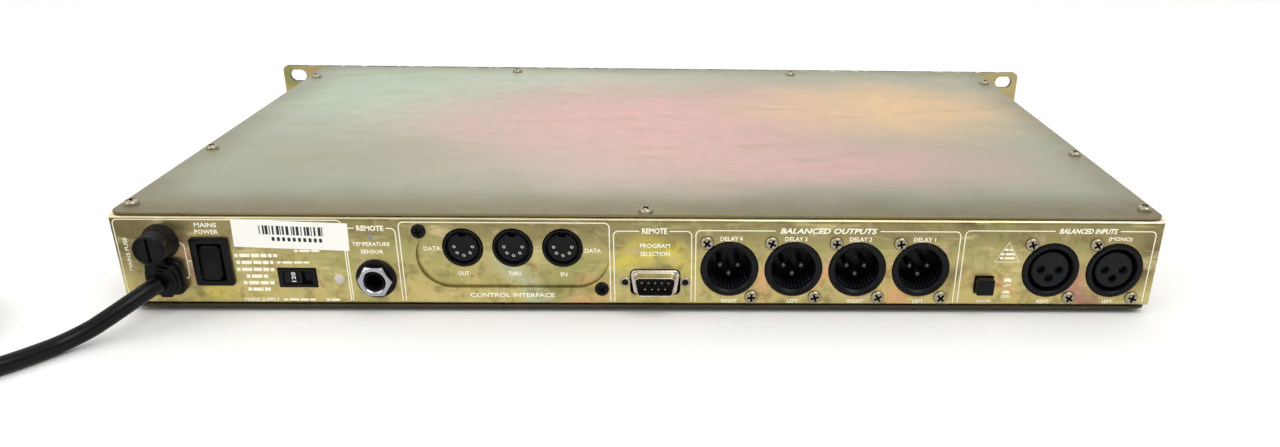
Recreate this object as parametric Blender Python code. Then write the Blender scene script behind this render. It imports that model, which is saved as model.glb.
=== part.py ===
"""A 19-inch, one-unit-high rack effects unit with a captive mains lead.

X runs across the unit and is positive on the right, seen from the front. The front faces -Y,
Z is up, and z = 0 is the surface that the unit stands on. Sizes are in millimetres; MM turns
them into Blender's metres.
"""

from math import cos, pi, radians, sin

import bmesh
import bpy
from mathutils import Matrix, Vector

MM = 0.001
GAP = 0.3
SIDES, SMALL_SIDES, KNOB_SIDES = 20, 8, 28

# Rack standard
PANEL_WIDTH, PANEL_HEIGHT, PANEL_THICKNESS = 482.6, 43.7, 3.0
PANEL_CORNER = 3.5
SLOT_SPAN, SLOT_PITCH = 464.0, 31.3
SLOT_LENGTH, SLOT_WIDTH = 10.5, 7.2

# Chassis
CHASSIS_WIDTH, CHASSIS_DEPTH = 430.0, 290.0
SHELL_BOTTOM, SHELL_TOP = 4.0, 42.1
REAR_SHEET, SIDE_SHEET, COVER_SHEET = 1.5, 1.2, 1.2
BEND = 2.0
REAR_FLANGE, SIDE_FLANGE = 9.0, 10.0
COVER_WIDTH, COVER_CORNER, COVER_INSET = 428.6, 4.5, 0.8
COVER_TOP, COVER_BOTTOM = 43.6, 2.4
HEAD_RADIUS, HEAD_HEIGHT, SHANK_RADIUS, SCREW_HOLE = 3.0, 1.8, 1.45, 1.8
SHANK_LENGTH = 6.0

# Depth of the parts that stand out in front and behind
KNOB_REACH, FUSE_REACH = 16.5, 12.0
OVERALL_DEPTH = KNOB_REACH + PANEL_THICKNESS + CHASSIS_DEPTH + FUSE_REACH
FRONT = KNOB_REACH - OVERALL_DEPTH / 2
PANEL_BACK = FRONT + PANEL_THICKNESS
REAR = PANEL_BACK + CHASSIS_DEPTH
INSIDE = REAR - REAR_SHEET
COVER_FRONT, COVER_REAR = PANEL_BACK + GAP, REAR - COVER_INSET

# Cover screws: distance from the rear face
EDGE_SCREW_X = 209.5
EDGE_SCREW_BACK = (11.0, 94.0, 257.0)
CENTRE_SCREW_BACK = 4.5
FRONT_SCREW_X, FRONT_SCREW_BACK = 88.0, 278.0

# Front controls
WINDOW = (-212.2, 213.2, 20.6, 33.9)
WINDOW_RECESS = 1.8
KEY_Z, KEY_HEIGHT, KEY_SINGLE, KEY_GROUPED = 10.3, 9.8, 13.0, 12.2
KEY_PITCH, KEY_PROUD, KEY_DEPTH, KEY_BOTTOM_GAP = 12.85, 1.2, 6.0, 1.3
SINGLE_KEYS = {
    "level_button": -181.7,
    "relative_button": -16.8,
    "units_button": 101.9,
    "bypass_button": 181.5,
}
CHANNEL_KEYS_X, MEMORY_KEYS_X = 20.85, 70.8
CHANNEL_KEYS = ("channel_1_button", "channel_2_button", "channel_3_button", "channel_4_button")
MEMORY_KEYS = ("program_button", "store_button", "recall_button")
KNOB_X, KNOB_Z = 140.5, 21.3
KNOB_BASE, KNOB_FACE, KNOB_GAP = 13.0, 11.5, 0.8
CAP_RADIUS, CAP_DEPTH = 9.7, 1.2
SHAFT_RADIUS, SHAFT_HOLE = 3.0, 4.0
LAMP_X, LAMP_Z, LAMP_RADIUS = 167.7, 10.5, 1.9
BOARD_THICKNESS = 1.6
DISPLAY_BOARD_FRONT = FRONT + 8.6

# Rear connectors: centres on the rear face
XLR_Z, XLR_RADIUS, XLR_PROUD = 20.3, 11.9, 0.8
XLR_OUTPUTS = {
    "xlr_output_1": -114.7,
    "xlr_output_2": -88.0,
    "xlr_output_3": -61.3,
    "xlr_output_4": -34.6,
}
XLR_INPUTS = {"xlr_input_left": -196.8, "xlr_input_right": -169.6}
XLR_CUP, XLR_CUP_DEPTH, XLR_PIN, XLR_PIN_LENGTH = 9.4, 15.0, 1.2, 10.0
XLR_PIN_CIRCLE, XLR_PLUG_RADIUS, XLR_SOCKET = 3.81, 7.9, 1.5
XLR_BODY_RADIUS, XLR_BODY_LENGTH = 10.5, 24.0
DSUB_X, DSUB_Z = -3.75, 14.4
DIN_CENTRES = {"din_socket_out": 75.2, "din_socket_thru": 54.8, "din_socket_in": 34.4}
DIN_Z, DIN_RADIUS, DIN_PIN_CIRCLE = 28.5, 8.1, 3.75
PLATE_FACE = INSIDE - 0.6
PORT_X, PORT_Z, PORT_LENGTH, PORT_HEIGHT = 54.6, 25.2, 79.0, 27.4
JACK_X, JACK_Z = 111.2, 15.6
JACK_BORE, JACK_BUSH, JACK_WASHER, JACK_NUT_FLATS = 3.25, 4.1, 8.3, 13.5
SELECTOR_X, SELECTOR_Z, SELECTOR_SLOT = 143.3, 15.8, 5.8
SLIDER_HALF, SLIDER_TRAVEL = 3.5, 4.0
ROCKER_X, ROCKER_Z, ROCKER_TILT = 176.5, 22.9, 7.0
FUSE_X, FUSE_Z = 195.6, 31.6
GLAND_X, GLAND_Z, GLAND_REACH, GLAND_RADIUS = 195.6, 16.7, 8.0, 7.9
LIFT_X, LIFT_Z, LIFT_PROUD = -142.1, 13.7, 4.0

# Mains lead: distance behind the rear face is added to REAR
CORD_RADIUS = 3.4
COIL_X, COIL_OUT, COIL_MIDDLE = 316.0, 32.0, 42.4
COIL_BAND, COIL_LOW, COIL_TOP, COIL_CORNER = 27.4, 1.6, 14.0, 3.0
TIE_WIDTH, TIE_THICKNESS = 8.0, 1.1
CORD_ROUTE = (
    (195.8, 9.8, 16.55),
    (197.4, 12.9, 15.95),
    (199.4, 16.1, 14.9),
    (202.1, 19.5, 13.4),
    (205.4, 22.8, 11.5),
    (209.2, 26.1, 9.3),
    (213.3, 29.4, 7.0),
    (218.0, 33.2, 5.1),
    (222.8, 38.2, 3.8),
    (228.6, 46.4, 3.5),
    (235.3, 55.2, 3.5),
    (243.6, 63.2, 3.5),
    (253.6, 68.8, 3.5),
    (264.2, 71.8, 3.6),
    (270.5, 73.6, 3.6),
)
TAIL_ROUTE = (
    (376.0, 33.0, 3.8),
    (375.9, 24.5, 4.4),
    (375.3, 16.5, 5.9),
    (374.2, 8.5, 8.0),
    (372.9, 0.5, 9.6),
    (372.2, -7.0, 10.2),
)
PLUG_X, PLUG_OUT, PLUG_Z = 372.0, -7.5, 10.2


# ---- bodies: each function adds one closed body to a bmesh, in millimetres ----


def placed(point, axis, along):
    """A point of an outline (u, v), at a height along the X, Y or Z axis."""
    u, v = point
    return {"X": (along, u, v), "Y": (u, along, v), "Z": (u, v, along)}[axis]


def add_prism(bm, outline, axis, low, high):
    verts = [bm.verts.new(placed(point, axis, low)) for point in outline]
    face = bm.faces.new(verts)
    moved = bmesh.ops.extrude_face_region(bm, geom=[face], use_keep_orig=True)
    new_verts = [item for item in moved["geom"] if isinstance(item, bmesh.types.BMVert)]
    shift = Vector(placed((0, 0), axis, high - low))
    bmesh.ops.translate(bm, verts=new_verts, vec=shift)


def add_box(bm, low, high):
    outline = [(low[0], low[1]), (high[0], low[1]), (high[0], high[1]), (low[0], high[1])]
    add_prism(bm, outline, "Z", low[2], high[2])


def rounded(cx, cy, width, height, radius, steps=3):
    """A rectangle's outline with round corners."""
    points = []
    for turn, (sx, sy) in enumerate(((1, 1), (-1, 1), (-1, -1), (1, -1))):
        for step in range(steps + 1):
            angle = (turn + step / steps) * pi / 2
            points.append((
                cx + sx * (width / 2 - radius) + radius * cos(angle),
                cy + sy * (height / 2 - radius) + radius * sin(angle),
            ))
    return points


def stadium(cx, cy, length, height, steps=6):
    points = []
    reach = (length - height) / 2
    for side, start in ((1, -pi / 2), (-1, pi / 2)):
        for step in range(steps + 1):
            angle = start + step / steps * pi
            points.append((
                cx + side * reach + height / 2 * cos(angle),
                cy + height / 2 * sin(angle),
            ))
    return points


def polygon(cx, cy, radius, sides, turn=0.0):
    angles = [turn + 2 * pi * i / sides for i in range(sides)]
    return [(cx + radius * cos(a), cy + radius * sin(a)) for a in angles]


def add_round(bm, centre, radius, low, high, sides=SIDES, axis="Y"):
    add_prism(bm, polygon(*centre, radius, sides), axis, low, high)


def add_turned(bm, profile, centre, sides=SIDES, axis="Y"):
    """Turns (radius, along) points about an axis; a profile that meets the axis closes there."""
    rings = []
    for radius, along in profile:
        if radius == 0:
            rings.append([bm.verts.new(placed(centre, axis, along))])
        else:
            circle = polygon(*centre, radius, sides)
            rings.append([bm.verts.new(placed(point, axis, along)) for point in circle])
    open_ended = len(rings[0]) == 1
    following = rings[1:] if open_ended else rings[1:] + rings[:1]
    for near, far in zip(rings, following):
        for i in range(sides):
            corners = [near[i % len(near)], near[(i + 1) % len(near)]]
            corners += [far[(i + 1) % len(far)], far[i % len(far)]]
            bm.faces.new(list(dict.fromkeys(corners)))


# ---- objects ----


def material(name, colour, roughness, metallic=0.0):
    made = bpy.data.materials.new(name)
    made.use_nodes = True
    shader = made.node_tree.nodes["Principled BSDF"]
    shader.inputs["Base Color"].default_value = (*colour, 1.0)
    shader.inputs["Roughness"].default_value = roughness
    shader.inputs["Metallic"].default_value = metallic
    return made


def to_object(name, bm, origin=(0, 0, 0)):
    """An object from bodies in world millimetres, with its origin at the point given."""
    bmesh.ops.recalc_face_normals(bm, faces=bm.faces)
    shift = Matrix.Diagonal((MM, MM, MM, 1)) @ Matrix.Translation(-Vector(origin))
    bmesh.ops.transform(bm, matrix=shift, verts=bm.verts)
    mesh = bpy.data.meshes.new(name)
    bm.to_mesh(mesh)
    bm.free()
    made = bpy.data.objects.new(name, mesh)
    made.location = Vector(origin) * MM
    bpy.context.scene.collection.objects.link(made)
    return made


def solid(name, bm, finish, origin=(0, 0, 0), smooth=True):
    made = to_object(name, bm, origin)
    made.data.materials.append(finish)
    if smooth:
        made.data.shade_smooth()
        made.data.set_sharp_from_angle(angle=radians(35))
    return made


def combine(target, bm, operation):
    """Joins the bodies of a bmesh to the target, or cuts them from it."""
    helper = to_object(f"{target.name}_{operation.lower()}_{len(target.modifiers)}", bm)
    helper.hide_render = True
    helper.display_type = "WIRE"
    modifier = target.modifiers.new(operation.title(), "BOOLEAN")
    modifier.operation = operation
    modifier.solver = "EXACT"
    modifier.object = helper


# ---- casing ----


def key_positions():
    places = {name: (x, KEY_SINGLE) for name, x in SINGLE_KEYS.items()}
    for names, middle in ((CHANNEL_KEYS, CHANNEL_KEYS_X), (MEMORY_KEYS, MEMORY_KEYS_X)):
        for i, name in enumerate(names):
            x = middle + (i - (len(names) - 1) / 2) * KEY_PITCH
            places[name] = (x, KEY_GROUPED)
    return places


def add_key_openings(bm, low, high):
    height = KEY_HEIGHT + 2 * GAP
    for x in SINGLE_KEYS.values():
        add_prism(bm, rounded(x, KEY_Z, KEY_SINGLE + 2 * GAP, height, 0.6, 2), "Y", low, high)
    for names, middle in ((CHANNEL_KEYS, CHANNEL_KEYS_X), (MEMORY_KEYS, MEMORY_KEYS_X)):
        width = (len(names) - 1) * KEY_PITCH + KEY_GROUPED + 2 * GAP
        add_prism(bm, rounded(middle, KEY_Z, width, height, 0.6, 2), "Y", low, high)


def window_outline(shrink):
    left, right, low, high = WINDOW
    middle = ((left + right) / 2, (low + high) / 2)
    return rounded(*middle, right - left - 2 * shrink, high - low - 2 * shrink, 0.8, 2)


def front_panel(finish):
    bm = bmesh.new()
    outline = rounded(0, PANEL_HEIGHT / 2, PANEL_WIDTH, PANEL_HEIGHT, PANEL_CORNER)
    add_prism(bm, outline, "Y", FRONT, PANEL_BACK)
    panel = solid("front_panel", bm, finish)
    holes = bmesh.new()
    low, high = FRONT - 1, PANEL_BACK + 1
    for x in (-SLOT_SPAN / 2, SLOT_SPAN / 2):
        for z in (PANEL_HEIGHT / 2 - SLOT_PITCH / 2, PANEL_HEIGHT / 2 + SLOT_PITCH / 2):
            add_prism(holes, stadium(x, z, SLOT_LENGTH, SLOT_WIDTH, 4), "Y", low, high)
    add_key_openings(holes, low, high)
    add_round(holes, (LAMP_X, LAMP_Z), LAMP_RADIUS + GAP, low, high, 10)
    combine(panel, holes, "DIFFERENCE")
    window = bmesh.new()
    add_prism(window, window_outline(0), "Y", low, high)
    combine(panel, window, "DIFFERENCE")
    shaft = bmesh.new()
    add_round(shaft, (KNOB_X, KNOB_Z), SHAFT_HOLE, low, high, 16)
    combine(panel, shaft, "DIFFERENCE")


def display_window(finish):
    bm = bmesh.new()
    add_prism(bm, window_outline(GAP), "Y", FRONT + WINDOW_RECESS, PANEL_BACK)
    window = solid("display_window", bm, finish)
    hole = bmesh.new()
    add_round(hole, (KNOB_X, KNOB_Z), SHAFT_HOLE, FRONT, PANEL_BACK + 1, 16)
    combine(window, hole, "DIFFERENCE")


def channel_profile(outer, wall, flange, bend, steps=3):
    """A C of folded sheet as (depth, height): its back is at outer, its flanges point inward."""
    inward = -1 if outer > 0 else 1
    points = []
    for up, edge in ((-1, SHELL_BOTTOM), (1, SHELL_TOP)):
        arc = []
        for step in range(steps + 1):
            angle = step / steps * pi / 2
            arc.append((
                outer + inward * bend * (1 - cos(angle)),
                edge - up * bend * (1 - sin(angle)),
            ))
        tip = [(outer + inward * flange, edge), (outer + inward * flange, edge - up * wall)]
        inner = [(outer + inward * wall, edge - up * wall)]
        points.append(arc + tip + inner)
    lower, upper = points
    return lower[::-1] + upper


def rear_cutouts():
    """Bodies that open the rear sheet where its connectors and controls stand."""
    bm = bmesh.new()
    low, high = INSIDE - 1, REAR + 1
    for x in list(XLR_OUTPUTS.values()) + list(XLR_INPUTS.values()):
        add_round(bm, (x, XLR_Z), XLR_RADIUS + GAP, low, high)
    add_prism(bm, rounded(DSUB_X, DSUB_Z, 21.0, 11.6, 1.5, 2), "Y", low, high)
    add_prism(bm, stadium(PORT_X, PORT_Z, PORT_LENGTH, PORT_HEIGHT), "Y", low, high)
    add_round(bm, (JACK_X, JACK_Z), JACK_BUSH + GAP, low, high)
    add_prism(bm, rounded(SELECTOR_X, SELECTOR_Z, 15.9, 8.8, 0.4, 1), "Y", low, high)
    add_prism(bm, rounded(ROCKER_X, ROCKER_Z, 14.0, 19.2, 0.4, 1), "Y", low, high)
    add_round(bm, (FUSE_X, FUSE_Z), 5.6, low, high)
    add_round(bm, (GLAND_X, GLAND_Z), 6.3, low, high)
    add_prism(bm, rounded(LIFT_X, LIFT_Z, 7.8, 7.6, 0.4, 1), "Y", low, high)
    return bm


def rear_panel(finish):
    bm = bmesh.new()
    profile = channel_profile(REAR, REAR_SHEET, REAR_FLANGE, BEND)
    half = CHASSIS_WIDTH / 2
    add_prism(bm, profile, "X", -half, half)
    panel = solid("rear_panel", bm, finish)
    corners = bmesh.new()
    for side in (-1, 1):
        near = side * (half - SIDE_FLANGE - 2 * GAP)
        far = side * (half + 1)
        low = (min(near, far), REAR - REAR_FLANGE - 1, SHELL_BOTTOM - 1)
        high = (max(near, far), INSIDE - GAP / 2, SHELL_TOP + 1)
        add_box(corners, low, high)
    combine(panel, corners, "DIFFERENCE")
    combine(panel, rear_cutouts(), "DIFFERENCE")
    hole = bmesh.new()
    centre = (0, REAR - CENTRE_SCREW_BACK)
    add_round(hole, centre, SCREW_HOLE, SHELL_TOP - 3, SHELL_TOP + 1, SMALL_SIDES, "Z")
    combine(panel, hole, "DIFFERENCE")


def side_panel(name, side, finish):
    bm = bmesh.new()
    outer = side * CHASSIS_WIDTH / 2
    profile = channel_profile(outer, SIDE_SHEET, SIDE_FLANGE, BEND)
    low, high = PANEL_BACK + GAP, INSIDE - GAP
    add_prism(bm, profile, "Y", low, high)
    panel = solid(name, bm, finish)
    holes = bmesh.new()
    for back in EDGE_SCREW_BACK:
        centre = (side * EDGE_SCREW_X, REAR - back)
        add_round(holes, centre, SCREW_HOLE, SHELL_BOTTOM - 2, SHELL_TOP + 2, SMALL_SIDES, "Z")
    combine(panel, holes, "DIFFERENCE")


def cover(name, low, finish, front_screws):
    bm = bmesh.new()
    depth = COVER_REAR - COVER_FRONT
    middle = (COVER_FRONT + COVER_REAR) / 2
    outline = rounded(0, middle, COVER_WIDTH, depth, COVER_CORNER, 4)
    add_prism(bm, outline, "Z", low, low + COVER_SHEET)
    plate = solid(name, bm, finish)
    holes = bmesh.new()
    spots = [(s * EDGE_SCREW_X, REAR - back) for s in (-1, 1) for back in EDGE_SCREW_BACK]
    if front_screws:
        spots += [(s * FRONT_SCREW_X, REAR - FRONT_SCREW_BACK) for s in (-1, 1)]
        spots.append((0, REAR - CENTRE_SCREW_BACK))
    for spot in spots:
        add_round(holes, spot, SCREW_HOLE, low - 1, low + COVER_SHEET + 1, SMALL_SIDES, "Z")
    combine(plate, holes, "DIFFERENCE")


def cover_screw(name, x, back, seat, up, finish):
    """A pan-head screw: seat is the cover's outer face, and up is 1 on top and -1 below."""
    bm = bmesh.new()
    under = seat + up * GAP
    profile = [
        (0, seat - up * SHANK_LENGTH),
        (SHANK_RADIUS, seat - up * SHANK_LENGTH),
        (SHANK_RADIUS, under),
        (HEAD_RADIUS, under),
        (HEAD_RADIUS * 0.97, under + up * HEAD_HEIGHT * 0.5),
        (HEAD_RADIUS * 0.72, under + up * HEAD_HEIGHT),
        (0, under + up * HEAD_HEIGHT),
    ]
    add_turned(bm, profile, (x, REAR - back), 10, "Z")
    solid(name, bm, finish)


# ---- front controls ----


def front_keys(finish):
    for name, (x, width) in key_positions().items():
        bm = bmesh.new()
        outline = rounded(x, KEY_Z, width, KEY_HEIGHT, 0.5, 2)
        add_prism(bm, outline, "Y", FRONT - KEY_PROUD, FRONT + KEY_DEPTH)
        solid(name, bm, finish, origin=(x, FRONT, KEY_Z))


def knob(finish, cap_finish, steel):
    centre = (KNOB_X, KNOB_Z)
    base, face = FRONT - KNOB_GAP, FRONT - KNOB_REACH
    bore_end = face + 4.0
    bm = bmesh.new()
    profile = [
        (0, face + CAP_DEPTH),
        (CAP_RADIUS + GAP, face + CAP_DEPTH),
        (CAP_RADIUS + GAP, face),
        (KNOB_FACE - 0.5, face),
        (KNOB_FACE, face + 0.6),
        (KNOB_FACE + 0.5, base - 3.0),
        (KNOB_BASE, base - 1.8),
        (KNOB_BASE, base),
        (SHAFT_RADIUS + GAP, base),
        (SHAFT_RADIUS + GAP, bore_end),
        (0, bore_end),
    ]
    add_turned(bm, profile, centre, KNOB_SIDES)
    solid("knob", bm, finish, origin=(KNOB_X, FRONT, KNOB_Z))
    cap = bmesh.new()
    add_round(cap, centre, CAP_RADIUS, face, face + CAP_DEPTH - GAP, KNOB_SIDES)
    solid("knob_cap", cap, cap_finish, origin=(KNOB_X, FRONT, KNOB_Z))
    shaft = bmesh.new()
    add_round(shaft, centre, SHAFT_RADIUS, bore_end + GAP, FRONT + 7.4, 16)
    solid("encoder_shaft", shaft, steel, origin=(KNOB_X, FRONT, KNOB_Z))


def encoder_body(finish):
    bm = bmesh.new()
    half = 6.5
    low, high = PANEL_BACK + 0.4, DISPLAY_BOARD_FRONT - GAP
    outline = rounded(KNOB_X, KNOB_Z, 2 * half, 2 * half, 1.0, 2)
    add_prism(bm, outline, "Y", low, high)
    body = solid("encoder_body", bm, finish)
    hole = bmesh.new()
    add_round(hole, (KNOB_X, KNOB_Z), SHAFT_RADIUS + GAP, low - 1, high + 1, 16)
    combine(body, hole, "DIFFERENCE")


def status_lamp(finish):
    bm = bmesh.new()
    profile = [
        (0, FRONT - 1.2),
        (LAMP_RADIUS * 0.6, FRONT - 1.0),
        (LAMP_RADIUS, FRONT - 0.2),
        (LAMP_RADIUS, DISPLAY_BOARD_FRONT - GAP),
        (0, DISPLAY_BOARD_FRONT - GAP),
    ]
    add_turned(bm, profile, (LAMP_X, LAMP_Z), 10)
    solid("status_lamp", bm, finish)


def display_board(finish):
    bm = bmesh.new()
    back = DISPLAY_BOARD_FRONT + BOARD_THICKNESS
    add_box(bm, (-203, DISPLAY_BOARD_FRONT, 5.5), (203, back, 38.5))
    board = solid("display_board", bm, finish)
    switches = bmesh.new()
    tip = FRONT + KEY_DEPTH + KEY_BOTTOM_GAP
    for x, _ in key_positions().values():
        low = (x - 3, tip, KEY_Z - 3)
        add_box(switches, low, (x + 3, DISPLAY_BOARD_FRONT + 0.8, KEY_Z + 3))
    combine(board, switches, "UNION")


# ---- rear connectors ----


def xlr(name, x, shell, contact, male):
    """A three-pole connector: two poles side by side and one below them."""
    face = REAR + XLR_PROUD
    centre = (x, XLR_Z)
    bm = bmesh.new()
    profile = [
        (0, face - XLR_BODY_LENGTH),
        (XLR_BODY_RADIUS, face - XLR_BODY_LENGTH),
        (XLR_BODY_RADIUS, face - 6),
        (XLR_RADIUS, face - 6),
        (XLR_RADIUS, face - 0.3),
        (XLR_RADIUS - 0.3, face),
        (0, face),
    ]
    add_turned(bm, profile, centre)
    connector = solid(name, bm, shell if male else contact)
    flange = bmesh.new()
    outline = rounded(x, XLR_Z, 25.5, 28.6, 3.0, 2)
    add_prism(flange, outline, "Y", INSIDE - GAP - 1.6, INSIDE - GAP)
    combine(connector, flange, "UNION")
    poles = [(x + XLR_PIN_CIRCLE * i, XLR_Z - XLR_PIN_CIRCLE * (i == 0)) for i in (-1, 0, 1)]
    if male:
        cup = bmesh.new()
        add_round(cup, centre, XLR_CUP, face - XLR_CUP_DEPTH, face + 1)
        combine(connector, cup, "DIFFERENCE")
        pins = bmesh.new()
        floor = face - XLR_CUP_DEPTH
        for pole in poles:
            add_round(pins, pole, XLR_PIN, floor - 1, floor + XLR_PIN_LENGTH, SMALL_SIDES)
        combine(connector, pins, "UNION")
    else:
        groove = bmesh.new()
        low, high = face - XLR_CUP_DEPTH, face + 1
        inner, outer = XLR_PLUG_RADIUS, XLR_CUP
        add_turned(groove, [(inner, low), (outer, low), (outer, high), (inner, high)], centre)
        for pole in poles:
            add_round(groove, pole, XLR_SOCKET, face - 12, high, SMALL_SIDES)
        combine(connector, groove, "DIFFERENCE")


def dsub(finish):
    """A nine-way connector: a D-shaped shell with its pins inside."""

    def shell_outline(width, height):
        slant = 0.9
        half, top = width / 2, height / 2
        return [
            (DSUB_X - half, DSUB_Z + top),
            (DSUB_X - half + slant, DSUB_Z - top),
            (DSUB_X + half - slant, DSUB_Z - top),
            (DSUB_X + half, DSUB_Z + top),
        ]

    back = INSIDE - GAP
    lip = REAR + 6.0
    bm = bmesh.new()
    add_prism(bm, rounded(DSUB_X, DSUB_Z, 30.8, 12.5, 1.5, 2), "Y", back - 1.2, back)
    connector = solid("dsub_connector", bm, finish)
    shell = bmesh.new()
    add_prism(shell, rounded(DSUB_X, DSUB_Z, 20.4, 11.0, 1.5, 2), "Y", back - 0.6, REAR + 0.8)
    combine(connector, shell, "UNION")
    nose = bmesh.new()
    add_prism(nose, shell_outline(16.9, 8.4), "Y", REAR, lip)
    combine(connector, nose, "UNION")
    rear_block = bmesh.new()
    add_box(rear_block, (DSUB_X - 9, back - 9, DSUB_Z - 5), (DSUB_X + 9, back - 0.6, DSUB_Z + 5))
    combine(connector, rear_block, "UNION")
    hollow = bmesh.new()
    add_prism(hollow, shell_outline(15.9, 7.4), "Y", lip - 5.8, lip + 1)
    combine(connector, hollow, "DIFFERENCE")
    pins = bmesh.new()
    for count, z in ((5, DSUB_Z + 1.42), (4, DSUB_Z - 1.42)):
        for i in range(count):
            x = DSUB_X + (i - (count - 1) / 2) * 2.76
            add_round(pins, (x, z), 0.5, lip - 6.8, lip - 1.2, 6)
    combine(connector, pins, "UNION")


def interface_plate(finish):
    bm = bmesh.new()
    outline = rounded(PORT_X, PORT_Z, PORT_LENGTH + 5, PORT_HEIGHT + 2, 2.0, 2)
    add_prism(bm, outline, "Y", PLATE_FACE - 1.2, PLATE_FACE)
    plate = solid("interface_plate", bm, finish)
    holes = bmesh.new()
    for x in DIN_CENTRES.values():
        add_round(holes, (x, DIN_Z), DIN_RADIUS + GAP, PLATE_FACE - 3, PLATE_FACE + 1)
    combine(plate, holes, "DIFFERENCE")


def din_socket(name, x, finish):
    face = PLATE_FACE + 0.5
    bm = bmesh.new()
    profile = [
        (0, face - 14),
        (DIN_RADIUS, face - 14),
        (DIN_RADIUS, face - 0.2),
        (DIN_RADIUS - 0.2, face),
        (0, face),
    ]
    add_turned(bm, profile, (x, DIN_Z))
    socket = solid(name, bm, finish)
    cuts = bmesh.new()
    ring = [(6.2, face - 3), (7.0, face - 3), (7.0, face + 1), (6.2, face + 1)]
    add_turned(cuts, ring, (x, DIN_Z), 16)
    for i in range(5):
        angle = radians(-45 * i)
        spot = (x + DIN_PIN_CIRCLE * cos(angle), DIN_Z + DIN_PIN_CIRCLE * sin(angle))
        add_round(cuts, spot, 0.8, face - 6, face + 1, 6)
    combine(socket, cuts, "DIFFERENCE")


def jack(black, chrome):
    centre = (JACK_X, JACK_Z)
    nut_low, nut_high = REAR + 1.8, REAR + 4.4
    bm = bmesh.new()
    profile = [
        (JACK_BORE, REAR - 26),
        (7.0, REAR - 26),
        (7.0, INSIDE - GAP),
        (JACK_BUSH, INSIDE - GAP),
        (JACK_BUSH, nut_high - 0.4),
        (JACK_BORE + 0.3, nut_high - 0.4),
        (JACK_BORE, nut_high - 0.8),
    ]
    add_turned(bm, profile, centre)
    solid("jack_socket", bm, black)
    washer = bmesh.new()
    ring = [
        (JACK_BUSH + GAP, REAR + GAP),
        (JACK_WASHER, REAR + GAP),
        (JACK_WASHER - 0.5, nut_low - GAP),
        (JACK_BUSH + GAP, nut_low - GAP),
    ]
    add_turned(washer, ring, centre)
    solid("jack_washer", washer, black)
    nut = bmesh.new()
    hexagon = polygon(*centre, JACK_NUT_FLATS / 2 / cos(pi / 6), 6, radians(2))
    add_prism(nut, hexagon, "Y", nut_low, nut_high)
    piece = solid("jack_nut", nut, chrome)
    hole = bmesh.new()
    add_round(hole, centre, JACK_BUSH + GAP, nut_low - 1, nut_high + 1)
    combine(piece, hole, "DIFFERENCE")


# ---- mains side ----


def voltage_selector(black):
    face = REAR + 0.2
    bm = bmesh.new()
    add_prism(bm, rounded(SELECTOR_X, SELECTOR_Z, 15.3, 8.2, 0.4, 1), "Y", face - 12, face)
    housing = solid("voltage_selector_housing", bm, black)
    slot = bmesh.new()
    add_box(
        slot,
        (SELECTOR_X - SELECTOR_SLOT, face - 2.4, SELECTOR_Z - 3.0),
        (SELECTOR_X + SELECTOR_SLOT, face + 1, SELECTOR_Z + 3.0),
    )
    combine(housing, slot, "DIFFERENCE")
    x = SELECTOR_X + SLIDER_TRAVEL / 2
    slider = bmesh.new()
    add_box(
        slider,
        (x - SLIDER_HALF, face - 2.0, SELECTOR_Z - 2.7),
        (x + SLIDER_HALF, face - 0.3, SELECTOR_Z + 2.7),
    )
    piece = solid("voltage_slider", slider, black, origin=(x, face, SELECTOR_Z))
    notch = bmesh.new()
    add_box(notch, (x - 2.6, face - 1.2, SELECTOR_Z - 1.6), (x - 1.4, face + 1, SELECTOR_Z + 1.6))
    combine(piece, notch, "DIFFERENCE")


def power_rocker(black):
    face = REAR + 1.5
    bm = bmesh.new()
    add_prism(bm, rounded(ROCKER_X, ROCKER_Z, 15.4, 20.6, 1.0, 2), "Y", REAR + GAP, face)
    housing = solid("rocker_housing", bm, black)
    shell = bmesh.new()
    add_prism(shell, rounded(ROCKER_X, ROCKER_Z, 13.4, 18.6, 0.4, 1), "Y", REAR - 15, face - 0.5)
    combine(housing, shell, "UNION")
    cavity = bmesh.new()
    add_prism(cavity, rounded(ROCKER_X, ROCKER_Z, 9.8, 16.0, 0.8, 2), "Y", REAR - 8, face + 1)
    combine(housing, cavity, "DIFFERENCE")
    pivot = Vector((ROCKER_X, REAR - 1.0, ROCKER_Z))
    profile = []
    for step in range(9):
        height = 7.3 - step * 14.6 / 8
        dish = 0.9 * (1 - (height / 7.3) ** 2)
        profile.append((3.9 - dish, height))
    profile += [(0.0, -7.3), (-4.0, -4.5), (-4.0, 4.5), (0.0, 7.3)]
    tilt = radians(ROCKER_TILT)
    turned = [
        (pivot.y + y * cos(tilt) - z * sin(tilt), pivot.z + y * sin(tilt) + z * cos(tilt))
        for y, z in profile
    ]
    paddle = bmesh.new()
    add_prism(paddle, turned, "X", ROCKER_X - 4.5, ROCKER_X + 4.5)
    solid("power_rocker", paddle, black, origin=tuple(pivot))


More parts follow.
